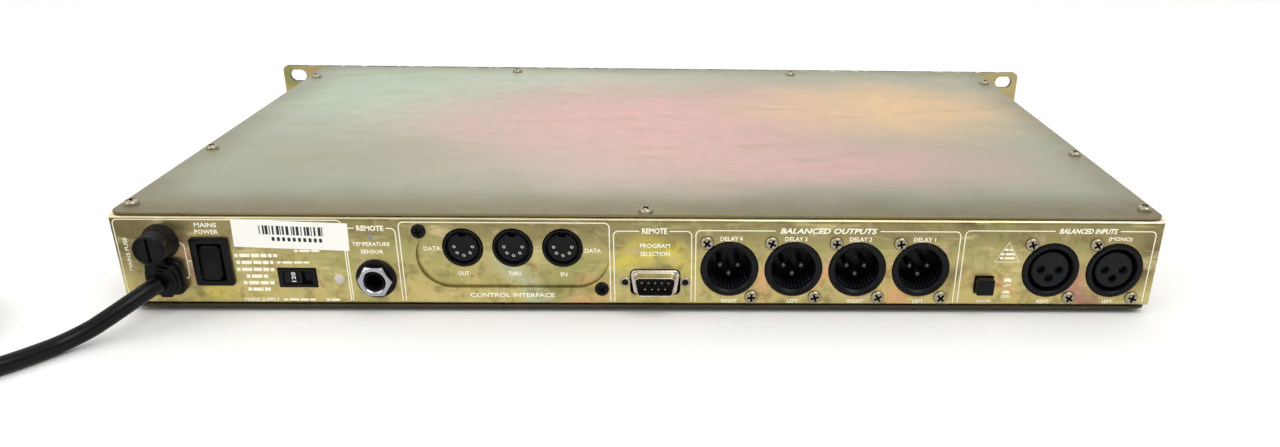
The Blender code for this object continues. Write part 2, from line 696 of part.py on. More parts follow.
def fuse(black, glass):
    centre = (FUSE_X, FUSE_Z)
    bm = bmesh.new()
    holder = [
        (4.2, REAR - 30),
        (5.3, REAR - 30),
        (5.3, REAR + GAP),
        (6.6, REAR + GAP),
        (6.6, REAR + 4.0),
        (4.2, REAR + 4.0),
    ]
    add_turned(bm, holder, centre)
    solid("fuse_holder", bm, black)
    tip = REAR + FUSE_REACH
    cap = bmesh.new()
    profile = [
        (0, REAR - 2),
        (3.9, REAR - 2),
        (3.9, REAR + 4.3),
        (6.3, REAR + 4.3),
        (6.1, tip - 0.6),
        (5.4, tip),
        (0, tip),
    ]
    add_turned(cap, profile, centre)
    piece = solid("fuse_cap", cap, black, origin=(FUSE_X, REAR, FUSE_Z))
    slot = bmesh.new()
    add_box(slot, (FUSE_X - 7, tip - 1.5, FUSE_Z - 0.7), (FUSE_X + 7, tip + 1, FUSE_Z + 0.7))
    combine(piece, slot, "DIFFERENCE")
    link = bmesh.new()
    add_round(link, centre, 2.6, REAR - 22.5, REAR - 2.5, 12)
    solid("fuse", link, glass, origin=(FUSE_X, REAR, FUSE_Z))


def cord_gland(black):
    centre = (GLAND_X, GLAND_Z)
    bm = bmesh.new()
    octagon = polygon(*centre, GLAND_RADIUS, 8, pi / 8)
    add_prism(bm, octagon, "Y", REAR + GAP, REAR + 5.0)
    gland = solid("cord_gland", bm, black)
    rest = bmesh.new()
    profile = [
        (0, REAR - 9),
        (6.0, REAR - 9),
        (6.0, REAR + 2),
        (7.0, REAR + 4),
        (5.0, REAR + GLAND_REACH),
        (0, REAR + GLAND_REACH),
    ]
    add_turned(rest, profile, centre)
    combine(gland, rest, "UNION")


def smooth_route(points, spacing):
    """Points about spacing apart on a Catmull-Rom curve through the route."""
    route = [Vector(p) for p in points]
    route = [2 * route[0] - route[1]] + route + [2 * route[-1] - route[-2]]
    found = []
    for a, b, c, d in zip(route, route[1:], route[2:], route[3:]):
        steps = max(1, round((c - b).length / spacing))
        for i in range(steps):
            t = i / steps
            found.append(0.5 * (
                2 * b + (c - a) * t + (2 * a - 5 * b + 4 * c - d) * t**2
                + (3 * b - a - 3 * c + d) * t**3
            ))
    return found + [route[-2]]


def cord_tube(name, route, finish):
    points = smooth_route([(x, REAR + out, z) for x, out, z in route], 7.0)
    curve = bpy.data.curves.new(name, "CURVE")
    curve.dimensions = "3D"
    curve.bevel_depth = CORD_RADIUS * MM
    curve.bevel_resolution = 2
    curve.use_fill_caps = True
    spline = curve.splines.new("POLY")
    spline.points.add(len(points) - 1)
    for spot, point in zip(spline.points, points):
        spot.co = (*(point * MM), 1.0)
    curve.materials.append(finish)
    tube = bpy.data.objects.new(name, curve)
    bpy.context.scene.collection.objects.link(tube)


def cord_coil(black, tie_finish):
    centre = (COIL_X, REAR + COIL_OUT)
    inner, outer = COIL_MIDDLE - COIL_BAND / 2, COIL_MIDDLE + COIL_BAND / 2
    x_low, x_high = COIL_X - TIE_WIDTH / 2, COIL_X + TIE_WIDTH / 2
    bm = bmesh.new()
    profile = [
        (inner + COIL_CORNER, COIL_LOW),
        (outer - COIL_CORNER, COIL_LOW),
        (outer, COIL_LOW + COIL_CORNER),
        (outer, COIL_TOP - COIL_CORNER),
        (outer - COIL_CORNER, COIL_TOP),
        (inner + COIL_CORNER, COIL_TOP),
        (inner, COIL_TOP - COIL_CORNER),
        (inner, COIL_LOW + COIL_CORNER),
    ]
    add_turned(bm, profile, centre, KNOB_SIDES, "Z")
    solid("cord_coil", bm, black)
    tie = bmesh.new()
    y, middle = REAR + COIL_OUT - COIL_MIDDLE, (COIL_LOW + COIL_TOP) / 2
    width, height = COIL_BAND + 4 * GAP, COIL_TOP - COIL_LOW + 2 * GAP
    outer_size = (width + 2 * TIE_THICKNESS, height + 2 * TIE_THICKNESS)
    add_prism(tie, rounded(y, middle, *outer_size, 3.0, 2), "X", x_low, x_high)
    band = solid("cord_tie", tie, tie_finish)
    inside = bmesh.new()
    add_prism(inside, rounded(y, middle, width, height, 2.4, 2), "X", x_low - 1, x_high + 1)
    combine(band, inside, "DIFFERENCE")


def mains_plug(black):
    bm = bmesh.new()
    y = REAR + PLUG_OUT
    outline = rounded(PLUG_X, PLUG_Z, 25, 19.6, 5.0, 4)
    add_prism(bm, outline, "Y", y - 40, y - 14)
    plug = solid("mains_plug", bm, black)
    sleeve = bmesh.new()
    profile = [(0, y - 16), (8.0, y - 16), (7.6, y - 12), (4.6, y), (0, y)]
    add_turned(sleeve, profile, (PLUG_X, PLUG_Z))
    combine(plug, sleeve, "UNION")
    pins = bmesh.new()
    for side in (-1, 1):
        x = PLUG_X + side * 6.35
        low = (x - 0.75, y - 56, PLUG_Z - 0.4)
        add_box(pins, low, (x + 0.75, y - 38, PLUG_Z + 5.9))
    add_round(pins, (PLUG_X, PLUG_Z - 5.6), 2.4, y - 58, y - 38, SMALL_SIDES)
    combine(plug, pins, "UNION")


def ground_lift(black):
    bm = bmesh.new()
    outline = rounded(LIFT_X, LIFT_Z, 7.2, 7.0, 0.4, 1)
    add_prism(bm, outline, "Y", REAR - 7, REAR + LIFT_PROUD)
    solid("ground_lift_button", bm, black, origin=(LIFT_X, REAR, LIFT_Z))
    body = bmesh.new()
    half = 5.0
    add_box(body, (LIFT_X - half, REAR - 26, LIFT_Z - half), (LIFT_X + half, REAR - 10.2, LIFT_Z + half))
    solid("ground_lift_switch", body, black)


# ---- inside ----


def main_board(finish):
    bm = bmesh.new()
    add_box(bm, (-205, -105, 7.0), (120, 110, 7.0 + BOARD_THICKNESS))
    solid("main_board", bm, finish)


def transformer(steel):
    bm = bmesh.new()
    add_box(bm, (138, 40, 6), (198, 60, 38))
    core = solid("transformer", bm, steel)
    coil = bmesh.new()
    add_prism(coil, rounded(168, 22, 36, 30, 5, 2), "Y", 28, 72)
    combine(core, coil, "UNION")


def build():
    for old in list(bpy.data.objects):
        bpy.data.objects.remove(old)

    panel_paint = material("panel_paint", (0.020, 0.028, 0.038), 0.45)
    window_tint = material("window_tint", (0.018, 0.014, 0.016), 0.2)
    zinc = material("passivated_zinc", (0.52, 0.42, 0.22), 0.35, 0.9)
    steel = material("screw_steel", (0.70, 0.66, 0.55), 0.3, 1.0)
    chrome = material("bright_nickel", (0.85, 0.85, 0.87), 0.12, 1.0)
    black = material("black_plastic", (0.012, 0.012, 0.014), 0.4)
    cord_black = material("cord_black", (0.010, 0.010, 0.011), 0.3)
    knob_grey = material("knob_grey", (0.48, 0.47, 0.40), 0.45)
    cap_blue = material("cap_blue", (0.0, 0.20, 0.58), 0.35)
    lamp_dark = material("lamp_dark", (0.03, 0.01, 0.01), 0.15)
    board_green = material("board_green", (0.02, 0.16, 0.07), 0.5)
    glass = material("fuse_glass", (0.80, 0.85, 0.85), 0.1)
    tie_black = material("tie_black", (0.02, 0.02, 0.02), 0.6)

    front_panel(panel_paint)
    display_window(window_tint)
    rear_panel(zinc)
    side_panel("side_panel_left", -1, zinc)
    side_panel("side_panel_right", 1, zinc)
    cover("top_cover", COVER_TOP - COVER_SHEET, zinc, True)
    cover("bottom_cover", COVER_BOTTOM, zinc, False)
    for name, side in (("left", -1), ("right", 1)):
        x, back = side * EDGE_SCREW_X, EDGE_SCREW_BACK[0]
        cover_screw(f"top_screw_{name}", x, back, COVER_TOP, 1, steel)
        cover_screw(f"bottom_screw_{name}", x, back, COVER_BOTTOM - GAP, -1, steel)
    cover_screw("top_screw_rear", 0, CENTRE_SCREW_BACK, COVER_TOP, 1, steel)

    front_keys(black)
    knob(knob_grey, cap_blue, steel)
    encoder_body(black)
    status_lamp(lamp_dark)
    display_board(board_green)

    for name, x in XLR_OUTPUTS.items():
        xlr(name, x, chrome, black, male=True)
    for name, x in XLR_INPUTS.items():
        xlr(name, x, chrome, black, male=False)
    dsub(chrome)
    interface_plate(zinc)
    for name, x in DIN_CENTRES.items():
        din_socket(name, x, black)
    jack(black, chrome)

    voltage_selector(black)
    power_rocker(black)
    fuse(black, glass)
    ground_lift(black)
    cord_gland(black)
    cord_tube("mains_cord", CORD_ROUTE, cord_black)
    cord_tube("cord_tail", TAIL_ROUTE, cord_black)
    cord_coil(cord_black, tie_black)
    mains_plug(black)

    main_board(board_green)
    transformer(steel)


build()
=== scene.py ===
"""The looks of a 19-inch rack effects unit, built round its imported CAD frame.

X runs across the unit and is positive on the right, seen from the front. The front faces -Y,
the connectors face +Y, Z is up, and z = 0 is the surface that the unit stands on. Sizes are in
millimetres; MM turns them into Blender's metres.
"""

from math import cos, pi, radians, sin

import bmesh
import bpy
from mathutils import Matrix, Vector


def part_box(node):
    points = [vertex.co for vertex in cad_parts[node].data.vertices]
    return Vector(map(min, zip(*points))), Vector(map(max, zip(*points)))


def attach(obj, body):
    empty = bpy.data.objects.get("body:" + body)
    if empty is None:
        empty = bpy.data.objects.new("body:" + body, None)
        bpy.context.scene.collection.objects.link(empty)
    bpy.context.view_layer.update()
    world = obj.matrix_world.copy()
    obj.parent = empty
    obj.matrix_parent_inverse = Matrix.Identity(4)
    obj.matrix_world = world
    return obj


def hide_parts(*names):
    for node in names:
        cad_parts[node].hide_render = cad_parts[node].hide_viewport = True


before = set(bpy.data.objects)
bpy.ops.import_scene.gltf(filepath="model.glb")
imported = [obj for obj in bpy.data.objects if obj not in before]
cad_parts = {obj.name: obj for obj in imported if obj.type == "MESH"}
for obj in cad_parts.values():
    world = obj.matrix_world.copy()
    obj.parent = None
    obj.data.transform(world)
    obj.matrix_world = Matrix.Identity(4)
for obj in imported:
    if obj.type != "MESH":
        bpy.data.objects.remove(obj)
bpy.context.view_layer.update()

MM = 0.001


def corners(node):
    """A CAD node's lowest and highest corner, in millimetres."""
    low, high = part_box(node)
    return low / MM, high / MM


def middle(node):
    low, high = corners(node)
    return (low + high) / 2


# ---- places and sizes ----

PANEL_LOW, PANEL_HIGH = corners("front_panel")
SHELL_LOW, SHELL_HIGH = corners("rear_panel")
COVER_LOW, COVER_HIGH = corners("top_cover")
FRONT, PANEL_BACK, REAR = PANEL_LOW.y, PANEL_HIGH.y, SHELL_HIGH.y
HALF_WIDTH = SHELL_HIGH.x
REAR_SHEET, SIDE_SHEET, BEND = 1.5, 1.2, 2.0
REAR_FLANGE, SIDE_FLANGE = 9.0, 10.0
FINE, COARSE = 64, 24
COVER_EDGE, COVER_BACKS = 209.5, (11, 94, 257)

CAMERA_PLACE = (-9.2, 548.65, 182.7)
CAMERA_DOWN, CAMERA_ASIDE, CAMERA_ROLL = 25.59, 2.09, 1.01
CAMERA_LENS, CAMERA_SHIFT = 29.19, (-0.0487, 0.0852)

SLOT_SPAN, SLOT_PITCH, SLOT_LENGTH, SLOT_WIDTH = 464.0, 31.3, 10.5, 7.2
SINGLE_KEYS = ("level_button", "relative_button", "units_button", "bypass_button")
CHANNEL_KEYS = ("channel_1_button", "channel_2_button", "channel_3_button", "channel_4_button")
MEMORY_KEYS = ("program_button", "store_button", "recall_button")
KEY_GAP = 0.3
KNOB_X, KNOB_Z = middle("knob").x, middle("knob").z
SHAFT_HOLE = 4.0
LAMP = middle("status_lamp")
LAMP_RADIUS = 1.9

XLR_OUTPUTS = ("xlr_output_1", "xlr_output_2", "xlr_output_3", "xlr_output_4")
XLR_INPUTS = ("xlr_input_left", "xlr_input_right")
DIN_SOCKETS = ("din_socket_out", "din_socket_thru", "din_socket_in")
XLR_Z, XLR_FACE = middle("xlr_output_1").z, corners("xlr_output_1")[1].y
XLR_RADIUS, XLR_PINS = 11.9, 3.81
XLR_SCREW_X, XLR_SCREW_Z, XLR_DROP = 9.5, 12.0, 0.4
DIN_RADIUS, DIN_PINS = 8.1, 3.75
DSUB_X, DSUB_Z, DSUB_REACH = -3.75, 14.4, 6.0
DSUB_PITCH, DSUB_ROW, DSUB_BUSH = 2.76, 1.42, 12.5
PORT = (54.6, 25.2, 79.0, 27.4)
LIFT = middle("ground_lift_button")
ROCKER = middle("rocker_housing")
ROCKER_TILT = 7.0
SELECTOR = middle("voltage_selector_housing")
FUSE_X, FUSE_Z = middle("fuse").x, middle("fuse").z
JACK_X, JACK_Z = middle("jack_socket").x, middle("jack_socket").z
GLAND_X, GLAND_Z = 195.6, 16.7

CORD_RADIUS = 3.4
CORD_EXIT = (195.8, 9.8, 16.55)
CORD_ROUTE = (
    CORD_EXIT, (197.4, 12.9, 15.95), (199.4, 16.1, 14.9), (202.1, 19.5, 13.4), (205.4, 22.8, 11.5),
    (209.2, 26.1, 9.3), (213.3, 29.4, 7.0), (218.0, 33.2, 5.1), (222.8, 38.2, 3.8),
    (228.6, 46.4, 3.5), (235.3, 55.2, 3.5), (243.6, 63.2, 3.5), (253.6, 68.8, 3.5),
    (264.2, 71.8, 3.6), (270.5, 73.6, 3.6),
)
TAIL_ROUTE = (
    (376.0, 33.0, 3.8), (375.9, 24.5, 4.4), (375.3, 16.5, 5.9), (374.2, 8.5, 8.0),
    (372.9, 0.5, 9.6), (372.2, -7.0, 10.2),
)
COIL_X, COIL_OUT, COIL_FLOOR = 316.0, 32.0, 3.5
COIL_LAYER = (52.6, 45.8, 39.0, 32.2)
COIL_START, COIL_LEAVE, COIL_END = 104.0, 84.0, 10.0
TURN_STEPS, SHIFT_SHARE, CLIMB_INWARD, TIE_LIFT = 36, 0.6, 2.5, 1.2
LEAVE_OUTWARD = 7.3
PLUG_X, PLUG_OUT, PLUG_Z = 372.0, -7.5, 10.2
BLADE_ASIDE, BLADE_UP, GROUND_DOWN = 6.35, 2.75, 5.6
CAP_SHARE, INK = 0.73, 0.03
SKY_SIDES, SKY_ABOVE = (0.75, 0.36), 1.0
CREASE, ROUNDED_ANGLE = 38, 32


# ---- bodies: each function adds one closed body to a bmesh, in millimetres ----


def placed(point, axis, along):
    """A point of an outline (u, v), at a height along the X, Y or Z axis."""
    u, v = point
    return {"X": (along, u, v), "Y": (u, along, v), "Z": (u, v, along)}[axis]


def add_loft(bm, rings, finish=0, closed=False):
    """Skins rings with the same number of points; an open loft gets a cap at each end."""
    rows = [[bm.verts.new(point) for point in ring] for ring in rings]
    faces = []
    for near, far in zip(rows, rows[1:] + rows[:1] if closed else rows[1:]):
        for i in range(len(near)):
            j = (i + 1) % len(near)
            faces.append(bm.faces.new((near[i], near[j], far[j], far[i])))
    if not closed:
        faces.append(bm.faces.new(rows[0][::-1]))
        faces.append(bm.faces.new(rows[-1]))
    for face in faces:
        face.material_index = finish


def add_stack(bm, x, z, start, layers, steps, slant=0.0, closed=False):
    """Lofts round-cornered layers (out, width, height, radius); out is measured from start in Y."""
    rings = []
    for out, width, height, radius in layers:
        outline = rounded(x, z, width, height, radius, steps, slant)
        rings.append([placed(point, "Y", start + out) for point in outline])
    add_loft(bm, rings, closed=closed)


def add_prism(bm, outline, axis, low, high, finish=0):
    add_loft(bm, [[placed(p, axis, along) for p in outline] for along in (low, high)], finish)


def add_box(bm, low, high, finish=0):
    outline = [(low[0], low[1]), (high[0], low[1]), (high[0], high[1]), (low[0], high[1])]
    add_prism(bm, outline, "Z", low[2], high[2], finish)


def polygon(cx, cz, radius, sides, turn=0.0):
    angles = [turn + 2 * pi * i / sides for i in range(sides)]
    return [(cx + radius * cos(a), cz + radius * sin(a)) for a in angles]


def rounded(cx, cz, width, height, radius, steps=5, slant=0.0):
    """A rectangle's outline with round corners; slant narrows its lower side at both ends."""
    points = []
    for turn, (sx, sz) in enumerate(((1, 1), (-1, 1), (-1, -1), (1, -1))):
        half = width / 2 - (slant if sz < 0 else 0.0)
        for step in range(steps + 1):
            angle = (turn + step / steps) * pi / 2
            points.append((
                cx + sx * (half - radius) + radius * cos(angle),
                cz + sz * (height / 2 - radius) + radius * sin(angle),
            ))
    return points


def stadium(cx, cz, length, height, steps=24):
    points = []
    for side, start in ((1, -pi / 2), (-1, pi / 2)):
        for step in range(steps + 1):
            angle = start + step / steps * pi
            points.append((
                cx + side * (length - height) / 2 + height / 2 * cos(angle),
                cz + height / 2 * sin(angle),
            ))
    return points


def add_turned(bm, start, profile, centre, finish=0, sides=FINE, axis="Y"):
    """Turns (radius, along) points about an axis; a profile that meets the axis closes there.

    Along is measured from start.
    """
    rings = []
    for radius, along in profile:
        points = [centre] if radius == 0 else polygon(*centre, radius, sides)
        rings.append([bm.verts.new(placed(point, axis, start + along)) for point in points])
    following = rings[1:] if len(rings[0]) == 1 else rings[1:] + rings[:1]
    for near, far in zip(rings, following):
        for i in range(sides):
            loop = [near[i % len(near)], near[(i + 1) % len(near)]]
            loop += [far[(i + 1) % len(far)], far[i % len(far)]]
            bm.faces.new(list(dict.fromkeys(loop))).material_index = finish


def add_ribbon(bm, points, width, low, high, closed=False):
    """A painted line of a given width along points (x, z), between two depths in Y."""
    rings = []
    last = len(points) - 1
    for i, (x, z) in enumerate(points):
        before = points[i - 1] if i or closed else points[i]
        after = points[(i + 1) % len(points)] if i < last or closed else points[i]
        along = Vector((after[0] - before[0], after[1] - before[1])).normalized()
        side = Vector((-along.y, along.x)) * width / 2
        rings.append([
            (x + side.x, low, z + side.y),
            (x - side.x, low, z - side.y),
            (x - side.x, high, z - side.y),
            (x + side.x, high, z + side.y),
        ])
    add_loft(bm, rings, closed=closed)


def add_copy(bm, mesh, matrix):
    """Adds a mesh in millimetres, moved by a matrix."""
    kept = len(bm.verts)
    bm.from_mesh(mesh)
    bm.verts.ensure_lookup_table()
    bmesh.ops.transform(bm, matrix=matrix, verts=bm.verts[kept:])


def facing(side, place, turn=0.0):
    """Puts a flat drawing upright at a place: side 1 faces the rear and -1 the front."""
    axes = Matrix(((-side, 0, 0, 0), (0, 0, side, 0), (0, 1, 0, 0), (0, 0, 0, 1)))
    return Matrix.Translation(place) @ axes @ Matrix.Rotation(radians(turn), 4, "Z")


def add_text(bm, words, side, place, height, width=None, turn=0.0, lean=0.0, weight=0.045):
    """Raised lettering; height is that of its capitals, and width stretches it to fit."""
    drawn = bpy.data.curves.new("lettering", "FONT")
    drawn.body = words
    drawn.size = height / CAP_SHARE
    drawn.align_x, drawn.align_y = "CENTER", "CENTER"
    drawn.shear, drawn.offset = lean, weight
    drawn.extrude, drawn.resolution_u = INK, 2
    holder = bpy.data.objects.new("lettering", drawn)
    mesh = bpy.data.meshes.new_from_object(holder)
    xs = [v.co.x for v in mesh.vertices]
    stretch = width / (max(xs) - min(xs)) if width else 1.0
    add_copy(bm, mesh, facing(side, place, turn) @ Matrix.Diagonal((stretch, 1, 1, 1)))
    bpy.data.objects.remove(holder)
    bpy.data.curves.remove(drawn)
    bpy.data.meshes.remove(mesh)


# ---- pieces ----


def to_object(name, bm):
    bmesh.ops.recalc_face_normals(bm, faces=bm.faces)
    bmesh.ops.scale(bm, vec=(MM, MM, MM), verts=bm.verts)
    mesh = bpy.data.meshes.new(name)
    bm.to_mesh(mesh)
    bm.free()
    made = bpy.data.objects.new(name, mesh)
    bpy.context.scene.collection.objects.link(made)
    return made


def applied(target):
    """Turns a piece's modifiers into its mesh."""
    graph = bpy.context.evaluated_depsgraph_get()
    mesh = bpy.data.meshes.new_from_object(target.evaluated_get(graph))
    target.modifiers.clear()
    target.data = mesh


def carved(target, bm, operation="DIFFERENCE"):
    """Cuts bodies in millimetres from a piece, or keeps what they share with it."""
    cutter = to_object("cutter", bm)
    modifier = target.modifiers.new("Carve", "BOOLEAN")
    modifier.operation, modifier.solver, modifier.object = operation, "EXACT", cutter
    applied(target)
    bpy.data.objects.remove(cutter)


def reopened(made):
    """A carved object's mesh as a bmesh in millimetres; the object itself goes."""
    bm = bmesh.new()
    bm.from_mesh(made.data)
    bmesh.ops.scale(bm, vec=(1 / MM,) * 3, verts=bm.verts)
    bpy.data.objects.remove(made)
    return bm


def round_edges(target, width, segments=3):
    modifier = target.modifiers.new("Edges", "BEVEL")
    modifier.width, modifier.segments = width * MM, segments
    modifier.limit_method, modifier.angle_limit = "ANGLE", radians(ROUNDED_ANGLE)
    modifier.harden_normals = True


def piece(made, finishes, body="chassis", nodes=(), edge=0.0, segments=3):
    """Gives a made object its finishes and edges, and puts it in place of CAD nodes."""
    for finish in finishes:
        made.data.materials.append(finish)
    made.data.shade_smooth()
    if edge:
        round_edges(made, edge, segments)
    else:
        made.data.set_sharp_from_angle(angle=radians(CREASE))
    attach(made, body)
    if nodes:
        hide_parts(*nodes)
    return made


def dress(node, finish, edge=0.0, segments=3):
    """A CAD node that stays, with a better finish and rounded edges."""
    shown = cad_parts[node]
    for slot in shown.material_slots:
        slot.material = finish
    shown.data.shade_smooth()
    if edge:
        weld = shown.modifiers.new("Weld", "WELD")
        weld.merge_threshold = 0.01 * MM
        round_edges(shown, edge, segments)


# ---- finishes ----


def srgb(*levels):
    """A colour given as 0 to 255 screen levels, as the shader's linear values."""
    shares = [level / 255 for level in levels]
    return [s / 12.92 if s <= 0.04045 else ((s + 0.055) / 1.055) ** 2.4 for s in shares] + [1.0]


class Finish:
    """A material whose colour, roughness and relief come from procedural nodes."""

    def __init__(self, name, colour, roughness, metallic=0.0, gloss=0.5):
        self.material = bpy.data.materials.new(name)
        self.material.use_nodes = True
        self.tree = self.material.node_tree
        self.shader = self.tree.nodes["Principled BSDF"]
        self.shader.inputs["Base Color"].default_value = colour
        self.shader.inputs["Roughness"].default_value = roughness
        self.shader.inputs["Metallic"].default_value = metallic
        self.shader.inputs["Specular IOR Level"].default_value = gloss
        coordinates = self.tree.nodes.new("ShaderNodeTexCoord")
        self.place = self.vector("SCALE", coordinates.outputs["Object"], Scale=1 / MM)
        self.colour = colour

    def node(self, kind, inputs, output=0, **settings):
        made = self.tree.nodes.new(kind)
        for key, value in settings.items():
            setattr(made, key, value)
        for key, value in inputs.items():
            if isinstance(value, bpy.types.NodeSocket):
                self.tree.links.new(value, made.inputs[key])
            else:
                made.inputs[key].default_value = value
        return made.outputs[output]

    def vector(self, operation, a, b=None, output=0, **inputs):
        given = {0: a, **inputs}
        if b is not None:
            given[1] = b
        return self.node("ShaderNodeVectorMath", given, output, operation=operation)

    def number(self, operation, a, b=0.0):
        return self.node("ShaderNodeMath", {0: a, 1: b}, operation=operation)

    def axis(self, name):
        return self.node("ShaderNodeSeparateXYZ", {0: self.place}, "XYZ".index(name))

    def noise(self, size, detail=3.0, stretch=(1, 1, 1), shift=0.0, rough=0.5, output=0):
        """Noise whose blotches are about size millimetres across."""
        scale = [s / size for s in stretch]
        inputs = {"Vector": self.moved(scale, shift), "Scale": 1.0, "Detail": detail, "Roughness": rough}
        return self.node("ShaderNodeTexNoise", inputs, output)

    def moved(self, scale, shift):
        scaled = self.vector("MULTIPLY", self.place, scale)
        return self.vector("ADD", scaled, (shift, shift * 0.7, -shift))

    def share(self, value, low, high, to_low=0.0, to_high=1.0):
        """A value's smooth share of the way from low to high, as a number between two others."""
        inputs = {0: value, 1: low, 2: high, 3: to_low, 4: to_high}
        return self.node("ShaderNodeMapRange", inputs, interpolation_type="SMOOTHSTEP")

    def blend(self, share, colour, base=None):
        """Lays a colour over what is there already."""
        under = self.colour if base is None else base
        mixed = self.node("ShaderNodeMix", {0: share, 6: under, 7: colour}, 2, data_type="RGBA")
        if base is None:
            self.colour = mixed
        return mixed

    def patch(self, colour, centre, reach, strength=1.0):
        """A soft patch of colour round a point, with a wandering edge."""
        warp = self.noise(38.0, 2.0, shift=centre[0] * 0.01, output=1)
        aside = self.vector("SCALE", self.vector("SUBTRACT", warp, (0.5,) * 3), Scale=55.0)
        point = self.vector("ADD", self.place, aside)
        away = self.vector("DIVIDE", self.vector("SUBTRACT", point, centre), reach)
        length = self.vector("LENGTH", away, output=1)
        self.blend(self.share(length, 0.05, 1.05, strength, 0.0), colour)

    def finish(self, rough=None, relief=None, depth=0.0, reach=0.1):
        """Joins colour, roughness and relief to the shader, and returns the material."""
        if isinstance(self.colour, bpy.types.NodeSocket):
            self.tree.links.new(self.colour, self.shader.inputs["Base Color"])
        if rough is not None:
            self.tree.links.new(rough, self.shader.inputs["Roughness"])
        if relief is not None:
            inputs = {"Height": relief, "Strength": depth, "Distance": reach * MM}
            bumped = self.node("ShaderNodeBump", inputs)
            self.tree.links.new(bumped, self.shader.inputs["Normal"])
        return self.material


OLIVE, MOSS, BROWN = srgb(118, 106, 70), srgb(148, 150, 92), srgb(92, 74, 54)
MINT, PINK, STRAW = srgb(180, 200, 178), srgb(214, 172, 164), srgb(230, 194, 148)
SAGE, KHAKI = srgb(134, 136, 112), srgb(160, 158, 134)
ROSE, PEACH, GOLD = srgb(176, 124, 108), srgb(220, 168, 118), srgb(216, 198, 84)


def zinc_end(made, rough_low=0.3, rough_high=0.46):
    """Fine grain, spots and relief that all the passivated sheet has."""
    grain = made.noise(1.1, 4.0, rough=0.7)
    made.blend(made.share(grain, 0.52, 0.85, 0.0, 0.22), OLIVE)
    spots = made.noise(3.2, 5.0, shift=3.0, rough=0.75)
    made.blend(made.share(spots, 0.66, 0.76, 0.0, 0.4), BROWN)
    rough = made.share(made.noise(9.0, 5.0, shift=7.0, rough=0.65), 0.3, 0.75, rough_low, rough_high)
    wave = made.number("ADD", made.noise(60.0, 1.0), made.number("MULTIPLY", grain, 0.03))
    return made.finish(rough, wave, 0.35, 0.5)


def zinc_top():
    """The top cover: a wide pink lake, straw and mint beside it, and olive along the edges."""
    made = Finish("zinc_top", srgb(168, 172, 150), 0.4, 0.82)
    top = COVER_HIGH.z
    for colour, x, y, reach_x, reach_y, strength in (
        (SAGE, 0, 150, 330, 80, 1.0),
        (MINT, 160, -60, 120, 110, 0.9),
        (MINT, 60, -105, 120, 45, 0.7),
        (PINK, -5, -5, 200, 150, 1.0),
        (STRAW, -140, -40, 115, 95, 1.0),
        (PINK, -80, 75, 150, 55, 0.8),
        (KHAKI, 120, 70, 90, 50, 0.6),
    ):
        made.patch(colour, (x, y, top), (reach_x, reach_y, 200.0), strength)
    wander = made.number("MULTIPLY", made.noise(30.0), 26.0)
    along = made.number("ADD", made.axis("Y"), wander)
    across = made.number("ADD", made.number("ABSOLUTE", made.axis("X")), wander)
    made.blend(made.share(along, REAR - 22, REAR + 12, 0.0, 0.8), OLIVE)
    made.blend(made.share(along, PANEL_BACK + 8, PANEL_BACK + 36, 0.5, 0.0), OLIVE)
    made.blend(made.share(across, HALF_WIDTH - 12, HALF_WIDTH + 18, 0.0, 0.5), OLIVE)
    streaks = made.noise(12.0, 5.0, stretch=(0.35, 1, 1), shift=5.0)
    made.blend(made.share(streaks, 0.5, 0.8, 0.0, 0.3), MOSS)
    return zinc_end(made)


def zinc_rear():
    """The rear panel: painted shade in olive along the top, a painted floor reflection in straw low down,
    with lakes of rose, peach and gold.
    """
    made = Finish("zinc_rear", srgb(184, 170, 114), 0.36, 0.82)
    z = made.number("ADD", made.axis("Z"), made.number("MULTIPLY", made.noise(22.0), 12.0))
    # Painted reflection and shade: lighter straw low down, where the sheet mirrors the floor, and darker
    # olive towards the top, under the cover.
    made.blend(made.share(z, 30, 12, 0.0, 0.9), srgb(204, 188, 122))
    made.blend(made.share(z, 30, 42, 0.0, 0.75), srgb(128, 118, 80))
    for colour, x, height, reach_x, reach_z, strength in (
        (BROWN, 214, 30, 14, 20, 0.6),
        (ROSE, 187, 24, 12, 18, 1.0),
        (GOLD, 176, 7, 22, 9, 0.9),
        (MOSS, 120, 30, 40, 14, 0.6),
        (MOSS, 30, 17, 34, 12, 0.7),
        (MINT, 52, 16, 13, 8, 0.6),
        (PEACH, 28, 7, 20, 8, 0.8),
        (GOLD, -4, 21, 20, 9, 0.9),
        (PEACH, -48, 12, 7, 16, 0.9),
        (PEACH, -74.6, 14, 7, 20, 0.9),
        (PEACH, -101.3, 12, 7, 18, 0.9),
        (BROWN, -127, 18, 6, 9, 0.6),
        (BROWN, -139, 30, 9, 7, 0.7),
        (BROWN, -146, 5, 16, 3, 0.7),
        (PEACH, -150, 9, 20, 9, 0.6),
        (ROSE, -186, 14, 14, 20, 1.0),
        (PINK, -60, 20, 8, 12, 0.7),
        (PINK, -88, 10, 9, 12, 0.7),
        (BROWN, -212, 24, 20, 26, 0.9),
    ):
        made.patch(colour, (x, REAR, height), (reach_x, 60.0, reach_z), strength)
    lakes = made.noise(11.0, 4.0, shift=9.0)
    made.blend(made.share(lakes, 0.5, 0.68, 0.0, 0.5), MOSS)
    pools = made.noise(8.0, 4.0, shift=15.0)
    made.blend(made.share(pools, 0.56, 0.72, 0.0, 0.5), srgb(206, 180, 150))
    clouds = made.noise(5.0, 5.0, shift=21.0, rough=0.6)
    made.blend(made.share(clouds, 0.48, 0.72, 0.0, 0.6), srgb(118, 104, 66))
    streaks = made.noise(6.0, 5.0, stretch=(0.25, 1, 1), shift=27.0, rough=0.6)
    made.blend(made.share(streaks, 0.55, 0.72, 0.0, 0.6), srgb(220, 206, 150))
    # Painted highlight: a cream line along the top bend, where the rounded edge catches the light from above.
    bend = made.share(made.axis("Z"), SHELL_HIGH.z - 0.9, SHELL_HIGH.z - 0.5)
    made.blend(bend, srgb(244, 232, 190))
    return zinc_end(made, 0.26, 0.42)


